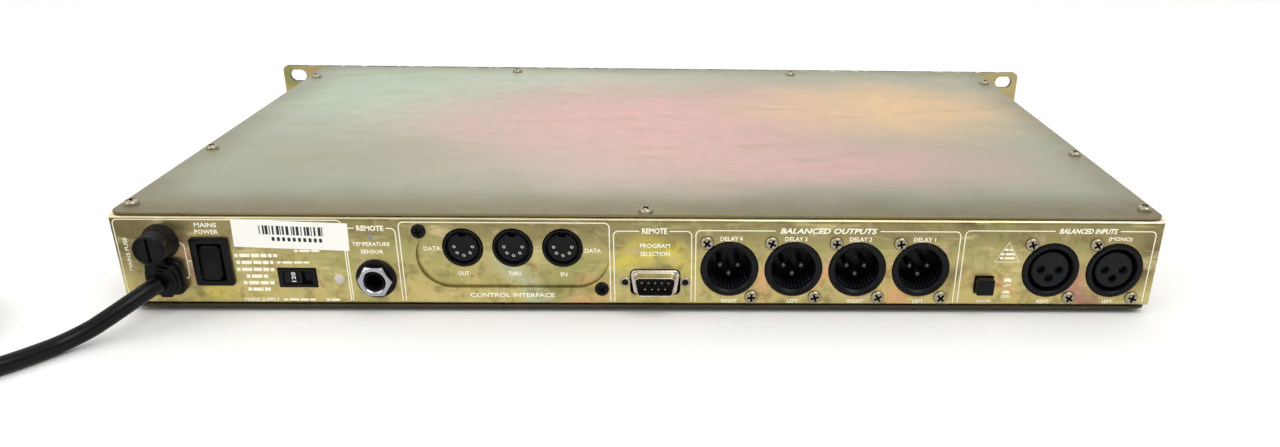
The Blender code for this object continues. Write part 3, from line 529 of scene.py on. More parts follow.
def zinc_plain():
    made = Finish("zinc_plain", srgb(182, 168, 118), 0.4, 0.82)
    made.blend(made.share(made.noise(34.0, 3.0), 0.45, 0.65), srgb(196, 164, 138))
    made.blend(made.share(made.noise(24.0, 3.0, shift=4.0), 0.5, 0.7), MOSS)
    return zinc_end(made)


def plating(name, colour, low, high, stain):
    """Bright plated metal with faint scuffs and patches of stain."""
    made = Finish(name, colour, low, 1.0)
    made.blend(made.share(made.noise(1.6, 4.0, rough=0.7), 0.55, 0.8, 0.0, 0.5), stain)
    rough = made.share(made.noise(0.8, 4.0, shift=2.0), 0.3, 0.8, low, high)
    return made.finish(rough, made.noise(0.5, 3.0), 0.1, 0.05)


def moulding(name, colour, pale, low, high, grain=0.35, depth=0.12, gloss=0.15):
    """Moulded plastic: a fine spark-eroded grain, handling marks and a little dust."""
    made = Finish(name, colour, low, 0.0, gloss)
    made.blend(made.share(made.noise(7.0, 5.0, rough=0.65), 0.52, 0.8, 0.0, 0.55), pale)
    rough = made.share(made.noise(4.0, 5.0, shift=3.0, rough=0.7), 0.3, 0.75, low, high)
    return made.finish(rough, made.noise(grain, 3.0), depth, 0.05)


def panel_paint():
    """Dark satin enamel, worn to bare metal here and there along the panel's edges."""
    made = Finish("panel_enamel", srgb(40, 48, 58), 0.42)
    made.blend(made.share(made.noise(40.0, 4.0), 0.4, 0.75, 0.0, 0.6), srgb(52, 60, 70))
    centre = (PANEL_LOW + PANEL_HIGH) / 2
    half = (PANEL_HIGH - PANEL_LOW) / 2
    high = made.number("ABSOLUTE", made.number("SUBTRACT", made.axis("Z"), centre.z))
    wide = made.number("ABSOLUTE", made.axis("X"))
    rim = made.number("MAXIMUM", made.share(high, half.z - 0.9, half.z - 0.1),
                      made.share(wide, half.x - 0.9, half.x - 0.1))
    chips = made.share(made.noise(5.0, 6.0, shift=2.0, rough=0.8), 0.52, 0.6)
    made.blend(made.number("MULTIPLY", rim, chips), srgb(200, 200, 196))
    scuffs = made.noise(2.5, 5.0, stretch=(0.15, 1, 1), shift=6.0, rough=0.7)
    made.blend(made.share(scuffs, 0.68, 0.8, 0.0, 0.35), srgb(110, 116, 122))
    rough = made.share(made.noise(6.0, 5.0, shift=8.0), 0.3, 0.75, 0.34, 0.56)
    return made.finish(rough, made.noise(0.6, 3.0), 0.25, 0.05)


def ink(name, colour, worn):
    """Screen-printed ink that has thinned in places."""
    made = Finish(name, colour, 0.55)
    made.blend(made.share(made.noise(1.3, 4.0, rough=0.7), 0.56, 0.74, 0.0, 0.7), worn)
    return made.finish(made.share(made.noise(0.7, 3.0), 0.3, 0.7, 0.45, 0.7))


def paper():
    made = Finish("label_paper", srgb(246, 245, 238), 0.6)
    made.blend(made.share(made.noise(9.0, 4.0), 0.5, 0.8, 0.0, 0.5), srgb(228, 224, 206))
    return made.finish(made.share(made.noise(0.4, 2.0), 0.3, 0.7, 0.5, 0.7), made.noise(0.5), 0.1, 0.03)


ZINC_TOP, ZINC_REAR, ZINC = zinc_top(), zinc_rear(), zinc_plain()
PANEL_PAINT = panel_paint()
NICKEL = plating("bright_nickel", srgb(196, 190, 182), 0.16, 0.34, srgb(120, 104, 84))
STEEL = plating("screw_plating", srgb(164, 156, 134), 0.26, 0.44, srgb(92, 80, 60))
DULL_STEEL = plating("contact_metal", srgb(150, 150, 152), 0.3, 0.45, srgb(90, 86, 80))
CHROME = plating("nut_chrome", srgb(168, 168, 174), 0.06, 0.16, srgb(110, 110, 112))
IRON = plating("transformer_iron", srgb(96, 92, 88), 0.45, 0.7, srgb(70, 54, 44))
BLACK = moulding("black_moulding", srgb(9, 9, 10), srgb(22, 22, 23), 0.26, 0.46)
SHELL_BLACK = moulding("connector_black", srgb(11, 12, 15), srgb(20, 22, 27), 0.2, 0.36, depth=0.06)
DUSTY_BLACK = moulding("fuse_black", srgb(20, 17, 17), srgb(96, 80, 72), 0.4, 0.62)
INSERT = moulding("insert_charcoal", srgb(20, 23, 26), srgb(32, 35, 38), 0.45, 0.6)
CORD_SHEATH = moulding("cord_sheath", srgb(12, 12, 13), srgb(20, 20, 21), 0.16, 0.3, 1.2, 0.05)
TIE = moulding("tie_plastic", srgb(24, 24, 24), srgb(50, 50, 48), 0.4, 0.6)
KNOB_GREY = moulding("knob_grey", srgb(192, 190, 176), srgb(168, 164, 148), 0.34, 0.5)
CAP_BLUE = moulding("cap_blue", srgb(8, 122, 198), srgb(20, 104, 170), 0.24, 0.4)
KEY_BLACK = moulding("key_black", srgb(16, 18, 22), srgb(34, 38, 44), 0.36, 0.55)
WINDOW = moulding("window_tint", srgb(30, 27, 29), srgb(38, 34, 35), 0.08, 0.2, 6.0, 0.02)
LENS = moulding("lamp_lens", srgb(70, 20, 20), srgb(92, 40, 36), 0.12, 0.25)
SEGMENT = moulding("display_segment", srgb(62, 50, 50), srgb(74, 60, 60), 0.3, 0.45)
BOARD = moulding("board_green", srgb(18, 96, 58), srgb(34, 120, 76), 0.35, 0.55)
GLASS = moulding("fuse_glass", srgb(206, 212, 210), srgb(188, 196, 196), 0.05, 0.12)
RIVET = moulding("blanking_plastic", srgb(206, 194, 184), srgb(176, 160, 146), 0.35, 0.5)
WHITE_INK = ink("white_ink", srgb(250, 246, 224), srgb(214, 206, 168))
FRONT_INK = ink("front_ink", srgb(222, 224, 226), srgb(160, 164, 168))
BLACK_INK = ink("black_ink", srgb(22, 22, 24), srgb(60, 60, 60))
GREEN_INK = ink("green_ink", srgb(36, 126, 78), srgb(52, 116, 82))
# Near-black finish for the screws' cross recesses: painted shade.
RECESS_SHADE = moulding("screw_recess_shade", srgb(22, 20, 18), srgb(48, 42, 36), 0.5, 0.7)
# Darkened plating for the male pins: painted shade deep inside the cups.
PIN = plating("pin_metal", srgb(92, 92, 96), 0.4, 0.55, srgb(58, 56, 54))
# Dark finish for the bottom cover: painted shade in the gap under the unit.
BOTTOM_SHADE = moulding("base_painted_shade", srgb(64, 58, 44), srgb(92, 84, 60), 0.5, 0.7)
PAPER = paper()


# ---- camera, lights and floor ----


def make_camera():
    """The camera looks at the connectors from behind and above."""
    down, aside = radians(CAMERA_DOWN), radians(CAMERA_ASIDE)
    forward = Vector((-sin(aside) * cos(down), -cos(aside) * cos(down), -sin(down)))
    level = Vector((-cos(aside), sin(aside), 0.0))
    lens = bpy.data.cameras.new("camera")
    lens.lens, lens.sensor_width = CAMERA_LENS, 36.0
    lens.shift_x, lens.shift_y = CAMERA_SHIFT
    lens.clip_start, lens.clip_end = 0.01, 50.0
    camera = bpy.data.objects.new("camera", lens)
    upright = level.cross(forward)
    axes = Matrix((level, upright, -forward)).transposed()
    roll = Matrix.Rotation(radians(CAMERA_ROLL), 3, "Z")
    camera.matrix_world = Matrix.Translation(Vector(CAMERA_PLACE) * MM) @ (axes @ roll).to_4x4()
    bpy.context.scene.collection.objects.link(camera)
    bpy.context.scene.camera = camera


def area_light(name, place, aim, size, power):
    light = bpy.data.lights.new(name, "AREA")
    light.shape, light.size, light.energy = "DISK", size, power
    made = bpy.data.objects.new(name, light)
    made.location = place
    made.rotation_euler = (Vector(aim) - Vector(place)).to_track_quat("-Z", "Y").to_euler()
    bpy.context.scene.collection.objects.link(made)


def make_studio():
    """A pale floor under a soft sky that is dimmer behind the camera."""
    scene = bpy.context.scene
    scene.view_settings.view_transform = "Standard"
    world = bpy.data.worlds.new("studio")
    world.use_nodes = True
    tree = world.node_tree

    def ranged(value, low, high, to_low, to_high):
        made = tree.nodes.new("ShaderNodeMapRange")
        tree.links.new(value, made.inputs[0])
        for socket, number in zip(made.inputs[1:5], (low, high, to_low, to_high)):
            socket.default_value = number
        return made.outputs[0]

    split = tree.nodes.new("ShaderNodeSeparateXYZ")
    coordinates = tree.nodes.new("ShaderNodeTexCoord")
    tree.links.new(coordinates.outputs["Generated"], split.inputs[0])
    side = ranged(split.outputs["Y"], -0.3, 0.8, *SKY_SIDES)
    sky = tree.nodes.new("ShaderNodeMix")
    sky.inputs[3].default_value = SKY_ABOVE
    tree.links.new(ranged(split.outputs["Z"], 0.1, 0.8, 0.0, 1.0), sky.inputs[0])
    tree.links.new(side, sky.inputs[2])
    background = tree.nodes["Background"]
    background.inputs["Color"].default_value = (1.0, 0.99, 0.97, 1.0)
    tree.links.new(sky.outputs[0], background.inputs["Strength"])
    scene.world = world

    bm = bmesh.new()
    add_box(bm, (-4000, -4000, -20), (4000, 4000, 0))
    floor = to_object("floor", bm)
    pale = Finish("floor_pale", srgb(244, 244, 243), 0.6)
    pale.blend(pale.share(pale.noise(300.0), 0.3, 0.7, 0.0, 0.3), srgb(240, 240, 240))
    floor.data.materials.append(pale.finish())

    area_light("key", (-0.7, 1.0, 1.7), (0.0, 0.0, 0.0), 1.4, 14.0)
    area_light("fill", (1.2, 0.8, 0.9), (0.0, 0.0, 0.0), 1.2, 5.0)
    area_light("back", (0.2, -1.4, 1.5), (0.0, 0.0, 0.0), 1.4, 5.0)


# ---- mains lead ----


def smooth_route(points, spacing):
    """Points about spacing apart on a Catmull-Rom curve through the route."""
    route = [Vector(p) for p in points]
    route = [2 * route[0] - route[1]] + route + [2 * route[-1] - route[-2]]
    found = []
    for a, b, c, d in zip(route, route[1:], route[2:], route[3:]):
        steps = max(1, round((c - b).length / spacing))
        for i in range(steps):
            t = i / steps
            found.append(0.5 * (
                2 * b + (c - a) * t + (2 * a - 5 * b + 4 * c - d) * t**2
                + (3 * b - a - 3 * c + d) * t**3
            ))
    return found + [route[-2]]


def eased(share):
    share = max(0.0, min(1.0, share))
    return share * share * (3 - 2 * share)


def coil_point(radius, angle, z):
    """A place in the coil; the cord rises over the strap that passes below it."""
    turn = radians(angle)
    propped = TIE_LIFT * (0.5 - 0.5 * sin(turn)) ** 3
    return (COIL_X + radius * cos(turn), COIL_OUT + radius * sin(turn), z + propped)


def coil_route():
    """Four turns side by side from the outside in, then three on top from the inside out.

    Each turn keeps its radius at first and moves to the next one in its last part. The last
    stretch leaves the upper layer outward, and comes down beside the coil.
    """
    radii = COIL_LAYER + COIL_LAYER[::-1]
    under = len(COIL_LAYER) - 1
    upper = COIL_FLOOR + 2 * CORD_RADIUS
    points = []
    for turn in range(len(radii) - 1):
        for step in range(TURN_STEPS):
            share = eased((step / TURN_STEPS - 1 + SHIFT_SHARE) / SHIFT_SHARE)
            radius = radii[turn] + (radii[turn + 1] - radii[turn]) * share
            climb = share if turn == under else float(turn > under)
            if turn == under:
                radius -= CLIMB_INWARD * sin(pi * share)
            z = COIL_FLOOR + 2 * CORD_RADIUS * climb
            points.append(coil_point(radius, COIL_START - step * 360 / TURN_STEPS, z))
    points.append(coil_point(radii[-1], COIL_START, upper))
    points.append(coil_point(radii[-1], (COIL_START + COIL_LEAVE) / 2, upper))
    steps = 9
    for step in range(steps):
        share = step / steps
        radius = radii[-1] + LEAVE_OUTWARD * eased(share / 0.75)
        z = upper + (TAIL_ROUTE[0][2] - upper) * eased((share - 0.35) / 0.65)
        points.append(coil_point(radius, COIL_LEAVE + (COIL_END - COIL_LEAVE) * share, z))
    return points


def make_cord():
    route = CORD_ROUTE + tuple(coil_route()) + TAIL_ROUTE
    points = smooth_route([(x, REAR + out, z) for x, out, z in route], 4.0)
    curve = bpy.data.curves.new("mains_lead", "CURVE")
    curve.dimensions = "3D"
    curve.bevel_depth, curve.bevel_resolution = CORD_RADIUS * MM, 6
    curve.use_fill_caps = True
    spline = curve.splines.new("POLY")
    spline.points.add(len(points) - 1)
    for spot, point in zip(spline.points, points):
        spot.co = (*(point * MM), 1.0)
    spline.use_smooth = True
    curve.materials.append(CORD_SHEATH)
    lead = bpy.data.objects.new("mains_lead", curve)
    bpy.context.scene.collection.objects.link(lead)
    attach(lead, "chassis")
    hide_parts("mains_cord", "cord_coil", "cord_tail")
    with_pieces = [make_plug(), make_tie()]


def make_plug():
    """A moulded three-pin plug with a ribbed sleeve, lying beside the coil."""
    y = REAR + PLUG_OUT
    bm = bmesh.new()
    layers = (
        (-13.6, 17.0, 15.0, 7.0), (-14.4, 20.0, 17.4, 7.0), (-17.0, 23.0, 19.0, 6.0),
        (-22.0, 22.0, 18.4, 6.0), (-30.0, 23.6, 19.4, 5.5), (-38.6, 25.0, 19.6, 5.0),
        (-39.6, 24.4, 19.2, 5.0), (-40.0, 22.6, 17.6, 4.6),
    )
    add_stack(bm, PLUG_X, PLUG_Z, y, layers, 8)
    profile = [(0, -14.5), (8.2, -14.5), (8.2, -13.0)]
    for i in range(6):
        back, radius = 12.4 - 2.0 * i, 7.4 - 0.5 * i
        profile += [(radius, -back), (radius, 1.0 - back), (radius - 1.0, 1.1 - back)]
        profile += [(radius - 1.0, 1.9 - back)]
    profile += [(4.0, -0.1), (0, -0.1)]
    add_turned(bm, y, profile, (PLUG_X, PLUG_Z), sides=32)
    for side in (-1, 1):
        blade = rounded(PLUG_X + side * BLADE_ASIDE, PLUG_Z + BLADE_UP, 1.5, 6.3, 0.4, 2)
        add_prism(bm, blade, "Y", y - 56, y - 39, 1)
    ground = [(0, -58), (1.2, -57.6), (2.1, -56.4), (2.4, -54), (2.4, -39), (0, -39)]
    add_turned(bm, y, ground, (PLUG_X, PLUG_Z - GROUND_DOWN), 1, COARSE)
    finishes = [BLACK, NICKEL]
    return piece(to_object("lead_plug", bm), finishes, nodes=["mains_plug"])


def make_tie():
    """A hook-and-loop strap round the coil."""
    low, high = corners("cord_tie")
    centre = ((low.y + high.y) / 2, (low.z + high.z) / 2)
    width, height = high.y - low.y, high.z - low.z
    bm = bmesh.new()
    rings = []
    for x, shrink in ((low.x, 0.3), (low.x + 0.3, 0.0), (high.x - 0.3, 0.0), (high.x, 0.3)):
        outline = rounded(*centre, width - shrink, height - shrink, 3.4, 6)
        rings.append([placed(point, "X", x) for point in outline])
    for x in (high.x, low.x):
        outline = rounded(*centre, width - 2.2, height - 2.2, 2.4, 6)
        rings.append([placed(point, "X", x) for point in outline])
    add_loft(bm, rings, closed=True)
    return piece(to_object("lead_tie", bm), [TIE], nodes=["cord_tie"])


# ---- casing ----


def make_rear_panel():
    """A pressed sheet with a soft bend along every outer edge and openings for the connectors."""
    bm = bmesh.new()
    add_box(bm, (-HALF_WIDTH, REAR - REAR_FLANGE, SHELL_LOW.z), (HALF_WIDTH, REAR, SHELL_HIGH.z))
    outer = [e for e in bm.edges if sum(abs(v.co.y - REAR) < 0.01 for v in e.verts) == 2]
    bmesh.ops.bevel(bm, geom=outer, offset=BEND, segments=6, profile=0.5, affect="EDGES")
    panel = to_object("rear_sheet", bm)
    holes = bmesh.new()
    low = (-HALF_WIDTH + REAR_SHEET, REAR - REAR_FLANGE - 1, SHELL_LOW.z + REAR_SHEET)
    high = (HALF_WIDTH - REAR_SHEET, REAR - REAR_SHEET, SHELL_HIGH.z - REAR_SHEET)
    add_box(holes, low, high)
    carved(panel, holes)
    holes = bmesh.new()
    low, high = REAR - REAR_SHEET - 1, REAR + 1
    spots = [(middle(name).x, XLR_Z) for name in XLR_OUTPUTS + XLR_INPUTS]
    outlines = [polygon(*spot, XLR_RADIUS + 0.15, FINE) for spot in spots]
    outlines += [
        rounded(DSUB_X, DSUB_Z, 20.9, 11.5, 2.4),
        stadium(*PORT),
        polygon(JACK_X, JACK_Z, 4.4, FINE),
        rounded(SELECTOR.x, SELECTOR.z, 15.7, 8.6, 0.4),
        rounded(ROCKER.x, ROCKER.z, 14.0, 19.2, 0.4),
        polygon(FUSE_X, FUSE_Z, 5.5, FINE),
        polygon(GLAND_X, GLAND_Z, 6.4, FINE),
        rounded(LIFT.x, LIFT.z, 8.0, 7.8, 0.5),
    ]
    for outline in outlines:
        add_prism(holes, outline, "Y", low, high)
    carved(panel, holes)
    piece(panel, [ZINC_REAR], nodes=["rear_panel"], edge=0.2, segments=2)


def make_side(name, side):
    """A folded side sheet that runs from the front panel to the rear panel's return."""
    bm = bmesh.new()
    outer = side * HALF_WIDTH
    low, high = PANEL_BACK + 0.3, REAR - REAR_FLANGE - 0.2
    outline = []
    for up, edge in ((-1, SHELL_LOW.z), (1, SHELL_HIGH.z)):
        arc = []
        for step in range(7):
            angle = step / 6 * pi / 2
            arc.append((outer - side * BEND * (1 - cos(angle)), edge - up * BEND * (1 - sin(angle))))
        flange = outer - side * SIDE_FLANGE
        inner = edge - up * SIDE_SHEET
        arc += [(flange, edge), (flange, inner), (outer - side * SIDE_SHEET, inner)]
        outline.append(arc)
    add_prism(bm, outline[0][::-1] + outline[1], "Y", low, high)
    made = to_object(f"side_sheet_{name}", bm)
    piece(made, [ZINC], nodes=[f"side_panel_{name}"], edge=0.15, segments=2)


def make_cover():
    low, high = COVER_LOW, COVER_HIGH
    size = high - low
    centre = (low + high) / 2
    bm = bmesh.new()
    outline = rounded(centre.x, centre.y, size.x, size.y, 4.5, 8)
    add_prism(bm, outline, "Z", low.z, high.z)
    cover = to_object("cover_sheet", bm)
    piece(cover, [ZINC_TOP], nodes=["top_cover"], edge=0.35)


def screw_head(radius, height, cross=0.62):
    """A pan head with a cross recess, standing on z = 0."""
    bm = bmesh.new()
    profile = [(0, -0.3), (radius, -0.3), (radius, 0.25)]
    for step in range(1, 7):
        angle = step / 6 * pi / 2
        profile.append((radius * (0.42 + 0.58 * cos(angle)), 0.25 + (height - 0.25) * sin(angle)))
    profile.append((0, height))
    add_turned(bm, 0, profile, (0, 0), 0, 32, "Z")
    head = to_object("screw", bm)
    recess = bmesh.new()
    arm, width = radius * cross, radius * 0.17
    plus = []
    for quarter in range(4):
        turn = Matrix.Rotation(quarter * pi / 2, 2)
        plus += [turn @ Vector(p) for p in ((width, width), (width, arm), (-width, arm))]
    floor = height - radius * 0.55
    rings = [[(p.x * s, p.y * s, z) for p in plus] for s, z in ((0.45, floor), (1.05, height + 0.1))]
    add_loft(recess, rings)
    carved(head, recess)
    mesh = head.data
    # The faces of the cross recess take the second finish, a near-black painted shade.
    for face in mesh.polygons:
        place = face.center / MM
        face.material_index = int(Vector(place.xy).length < arm and place.z < height - 0.05)
    mesh.transform(Matrix.Diagonal((1 / MM, 1 / MM, 1 / MM, 1)))
    bpy.data.objects.remove(head)
    return mesh


def add_screws(name, mesh, places, axis, finish, nodes=()):
    """Screws of one kind at several places; each stops at an angle of its own."""
    towards = Vector({"Z": (0, 0, 1), "-Z": (0, 0, -1), "Y": (0, 1, 0)}[axis])
    stand = towards.to_track_quat("Z", "Y").to_matrix().to_4x4()
    bm = bmesh.new()
    for i, place in enumerate(places):
        turn = Matrix.Rotation(radians(37 * i + 11), 4, "Z")
        add_copy(bm, mesh, Matrix.Translation(place) @ stand @ turn)
    return piece(to_object(name, bm), [finish, RECESS_SHADE], nodes=nodes)


def make_screws():
    head = screw_head(3.0, 1.9)
    top = COVER_HIGH.z
    edge = [(s * COVER_EDGE, REAR - back, top) for s in (-1, 1) for back in COVER_BACKS]
    places = edge + [(s * 88.0, REAR - 278, top) for s in (-1, 1)] + [(0, REAR - 4.5, top)]
    nodes = ["top_screw_left", "top_screw_right", "top_screw_rear"]
    add_screws("cover_screws", head, places, "Z", STEEL, nodes)
    below = corners("bottom_cover")[0].z - 0.3
    places = [(x, y, below) for x, y, _ in edge]
    nodes = ["bottom_screw_left", "bottom_screw_right"]
    add_screws("base_screws", head, places, "-Z", STEEL, nodes)
    small = screw_head(2.9, 1.6)
    places = []
    for name in XLR_OUTPUTS + XLR_INPUTS:
        x = middle(name).x
        places += [(x + s * XLR_SCREW_X, REAR, XLR_Z - XLR_DROP + s * XLR_SCREW_Z) for s in (1, -1)]
    add_screws("connector_screws", small, places, "Y", STEEL)
    places = [(92.1, REAR, 36.3), (18.5, REAR, 11.2)]
    add_screws("module_screws", screw_head(3.0, 1.7), places, "Y", BLACK)


# ---- rear connectors ----


def make_xlr_output(name):
    """A male connector: a black cup with three pins."""
    x, z = middle(name).x, XLR_Z
    face = XLR_FACE
    bm = bmesh.new()
    profile = [
        (0, -15), (8.9, -15), (9.0, -2.2), (9.2, -1.9), (9.3, -1.2),
        (10.2, -0.5), (11.0, 0), (11.4, 0), (11.7, -0.25), (11.9, -0.8),
        (11.9, -16), (0, -16),
    ]
    add_turned(bm, face, profile, (x, z))
    cup = to_object(name + "_cup", bm)
    key = bmesh.new()
    add_box(key, (x - 1.4, face - 0.7, z + 9), (x + 1.4, face + 1, z + 12.2))
    carved(cup, key)
    bm = reopened(cup)
    # The ribs are real geometry; their lighter charcoal finish is a painted highlight on the cup's lower
    # inner wall.
    for i in range(11):
        turn = radians(215 + 11 * i)
        rib = [(9.1 * cos(turn + t), 9.1 * sin(turn + t)) for t in (-0.05, 0.05)]
        rib += [(8.2 * cos(turn + t), 8.2 * sin(turn + t)) for t in (0.05, -0.05)]
        add_prism(bm, [(x + u, z + v) for u, v in rib], "Y", face - 9, face - 2.6, 2)
    for i in (-1, 0, 1):
        spot = (x + XLR_PINS * i, z - XLR_PINS * (i == 0))
        pin = [(0, -5), (0.6, -5.1), (1.05, -5.5), (1.2, -6.1), (1.2, -15), (0, -15)]
        add_turned(bm, face, pin, spot, 1, COARSE)
    finishes = [SHELL_BLACK, PIN, INSERT]
    piece(to_object(name + "_shell", bm), finishes, nodes=[name])


def make_xlr_input(name):
    """A female connector: a ring, a groove and an insert with three sockets."""
    x, z = middle(name).x, XLR_Z
    face = XLR_FACE
    bm = bmesh.new()
    insert = [
        (0, -14.5), (9.3, -14.5), (9.3, -13.5), (7.9, -13.5),
        (7.9, -1.5), (7.5, -1.1), (0, -1.1),
    ]
    add_turned(bm, face, insert, (x, z))
    body = to_object("insert", bm)
    holes = bmesh.new()
    spots = [(x + XLR_PINS * i, z - XLR_PINS * (i == 0)) for i in (-1, 0, 1)]
    for spot in spots:
        funnel = [(0, -9), (1.6, -9), (1.6, -1.7), (2.0, -1), (2.0, 0), (0, 0)]
        add_turned(holes, face, funnel, spot, 0, COARSE)
    carved(body, holes)
    bm = reopened(body)
    for face_of in bm.faces:
        face_of.material_index = 1
    ring = [
        (9.4, -14.5), (9.4, -1.0), (9.8, -0.3), (10.4, 0), (11.2, 0),
        (11.7, -0.25), (11.9, -0.8), (11.9, -14.5),
    ]
    add_turned(bm, face, ring, (x, z))
    for spot in spots:
        contact = [(1.0, -8.9), (1.0, -5.0), (1.4, -5.0), (1.4, -8.9)]
        add_turned(bm, face, contact, spot, 2, 16)
    finishes = [SHELL_BLACK, INSERT, DULL_STEEL]
    piece(to_object(name + "_shell", bm), finishes, nodes=[name])


def make_din(name):
    """A five-way round socket in the interface module."""
    x, z = middle(name).x, middle(name).z
    face = corners(name)[1].y
    bm = bmesh.new()
    profile = [
        (0, -10), (8.1, -10), (8.1, -0.3), (7.8, 0), (7.2, 0), (6.9, -0.4),
        (6.9, -3), (6.3, -3), (6.3, -1.2), (6.0, -0.9), (0, -0.9),
    ]
    add_turned(bm, face, profile, (x, z))
    body = to_object("socket", bm)
    holes = bmesh.new()
    spots = []
    for i in range(5):
        angle = radians(-45 * i)
        spots.append((x + DIN_PINS * cos(angle), z + DIN_PINS * sin(angle)))
    for spot in spots:
        add_prism(holes, polygon(*spot, 0.85, 16), "Y", face - 6, face + 1)
    add_box(holes, (x - 1.5, face - 3.4, z + 4.6), (x + 1.5, face + 1, z + 7.3))
    carved(body, holes)
    bm = reopened(body)
    for spot in spots:
        contact = [(0.35, -5.8), (0.35, -1.5), (0.68, -1.5), (0.68, -5.8)]
        add_turned(bm, face, contact, spot, 1, 12)
    piece(to_object(name + "_face", bm), [SHELL_BLACK, NICKEL], nodes=[name])


def make_interface_plate():
    """The sheet behind the long round-ended opening, with a hole for each round socket."""
    low, high = corners("interface_plate")
    centre, size = (low + high) / 2, high - low
    bm = bmesh.new()
    add_prism(bm, rounded(centre.x, centre.z, size.x, size.z, 2.0), "Y", low.y, high.y)
    plate = to_object("interface_sheet", bm)
    holes = bmesh.new()
    for name in DIN_SOCKETS:
        place = middle(name)
        add_prism(holes, polygon(place.x, place.z, DIN_RADIUS + 0.25, FINE), "Y", low.y - 1, high.y + 1)
    carved(plate, holes)
    piece(plate, [ZINC_REAR], nodes=["interface_plate"], edge=0.15, segments=2)


def make_dsub():
    """A nine-way connector: a drawn metal shell, its black insert, pins and threaded bushes."""
    bm = bmesh.new()
    layers = (
        (-1.5, 20.3, 10.9, 2.2), (0.35, 20.3, 10.9, 2.2), (0.75, 19.9, 10.5, 2.1),
        (0.95, 19.0, 9.8, 2.0), (1.1, 17.8, 9.1, 1.9), (1.6, 17.0, 8.5, 1.8), (5.6, 16.9, 8.4, 1.8),
        (DSUB_REACH - 0.1, 16.7, 8.2, 1.7), (DSUB_REACH, 16.4, 7.9, 1.6),
        (DSUB_REACH - 0.1, 16.1, 7.6, 1.5), (DSUB_REACH - 0.4, 15.9, 7.4, 1.4), (-1.5, 15.9, 7.4, 1.4),
    )
    add_stack(bm, DSUB_X, DSUB_Z, REAR, layers, 6, 0.9, closed=True)
    insert = rounded(DSUB_X, DSUB_Z, 15.8, 7.3, 1.35, 6, 0.9)
    add_prism(bm, insert, "Y", REAR - 1.4, REAR + 0.6, 1)
    pin = [(0, 4.8), (0.3, 4.7), (0.5, 4.3), (0.5, 0.5), (0, 0.5)]
    for count, z in ((5, DSUB_Z + DSUB_ROW), (4, DSUB_Z - DSUB_ROW)):
        for i in range(count):
            x = DSUB_X + (i - (count - 1) / 2) * DSUB_PITCH
            add_turned(bm, REAR, pin, (x, z), 2, 12)
    bush = [(1.3, -0.2), (2.2, -0.2), (2.2, 0.35), (1.95, 0.6), (1.45, 0.6), (1.3, 0.4)]
    # A black disc in each bush's threaded hole: painted shade.
    hole_shade = [(0, -0.1), (1.35, -0.1), (1.35, 0.1), (0, 0.1)]
    for side in (-1, 1):
        spot = (DSUB_X + side * DSUB_BUSH, DSUB_Z)
        add_turned(bm, REAR, bush, spot, 2, COARSE)
        add_turned(bm, REAR, hole_shade, spot, 1, COARSE)
    finishes = [NICKEL, BLACK, STEEL]
    piece(to_object("dsub_shell", bm), finishes, nodes=["dsub_connector"])


def make_jack():
    centre = (JACK_X, JACK_Z)
    low, high = (corner.y for corner in corners("jack_washer"))
    bm = bmesh.new()
    ring = [(4.4, low), (8.2, low), (8.3, low + 0.3), (8.2, high - 0.5), (7.8, high - 0.1), (7.2, high)]
    add_turned(bm, 0, ring + [(4.4, high)], centre)
    piece(to_object("jack_ring", bm), [BLACK], nodes=["jack_washer"])
    low, high = (corner.y for corner in corners("jack_nut"))
    bm = bmesh.new()
    add_prism(bm, polygon(*centre, 6.2 / cos(pi / 6), 6, radians(2)), "Y", low, high)
    nut = to_object("jack_hexagon", bm)
    shape = bmesh.new()
    profile = [(4.4, low), (6.9, low), (7.1, low + 0.3), (7.1, high - 0.8), (6.0, high), (4.8, high)]
    profile += [(4.4, high - 0.4)]
    add_turned(shape, 0, profile, centre)
    carved(nut, shape, "INTERSECT")
    piece(nut, [CHROME], nodes=["jack_nut"], edge=0.12, segments=2)
    high = corners("jack_socket")[1].y
    bm = bmesh.new()
    bush = [(3.25, REAR - 20), (4.1, REAR - 20), (4.1, high - 0.3), (3.9, high), (3.5, high)]
    add_turned(bm, 0, bush + [(3.25, high - 0.4)], centre)
    add_turned(bm, REAR, [(0, -21), (7, -21), (7, -19), (0, -19)], centre)
    piece(to_object("jack_bush", bm), [BLACK], nodes=["jack_socket"])


# ---- mains side ----


def make_fuse():
    centre = (FUSE_X, FUSE_Z)
    tip = corners("fuse_cap")[1].y
    bm = bmesh.new()
    flange = [
        (4.2, -20), (5.3, -20), (5.3, 0.2), (7.2, 0.2), (7.2, 1.2),
        (6.7, 1.8), (6.6, 3.7), (6.3, 4.0), (4.2, 4.0),
    ]
    add_turned(bm, REAR, flange, centre)
    piece(to_object("fuse_flange", bm), [DUSTY_BLACK], nodes=["fuse_holder"])
    bm = bmesh.new()
    profile = [
        (0, REAR - 2), (3.9, REAR - 2), (3.9, REAR + 4.3), (6.2, REAR + 4.3), (6.3, REAR + 4.7),
        (6.25, tip - 1.0), (6.1, tip - 0.3), (5.7, tip), (5.1, tip), (4.9, tip - 0.3),
        (4.9, tip - 0.5), (0, tip - 0.5),
    ]
    add_turned(bm, 0, profile, centre)
    cap = to_object("fuse_cap_turned", bm)
    slot = bmesh.new()
    add_box(slot, (FUSE_X - 0.7, tip - 1.8, FUSE_Z - 4.8), (FUSE_X + 0.7, tip + 1, FUSE_Z + 4.8))
    carved(cap, slot)
    for face in cap.data.polygons:
        face.material_index = int(face.center.y / MM > tip - 1.9)
    piece(cap, [DUSTY_BLACK, BLACK], "fuse_cap", ["fuse_cap"], 0.12, 2)


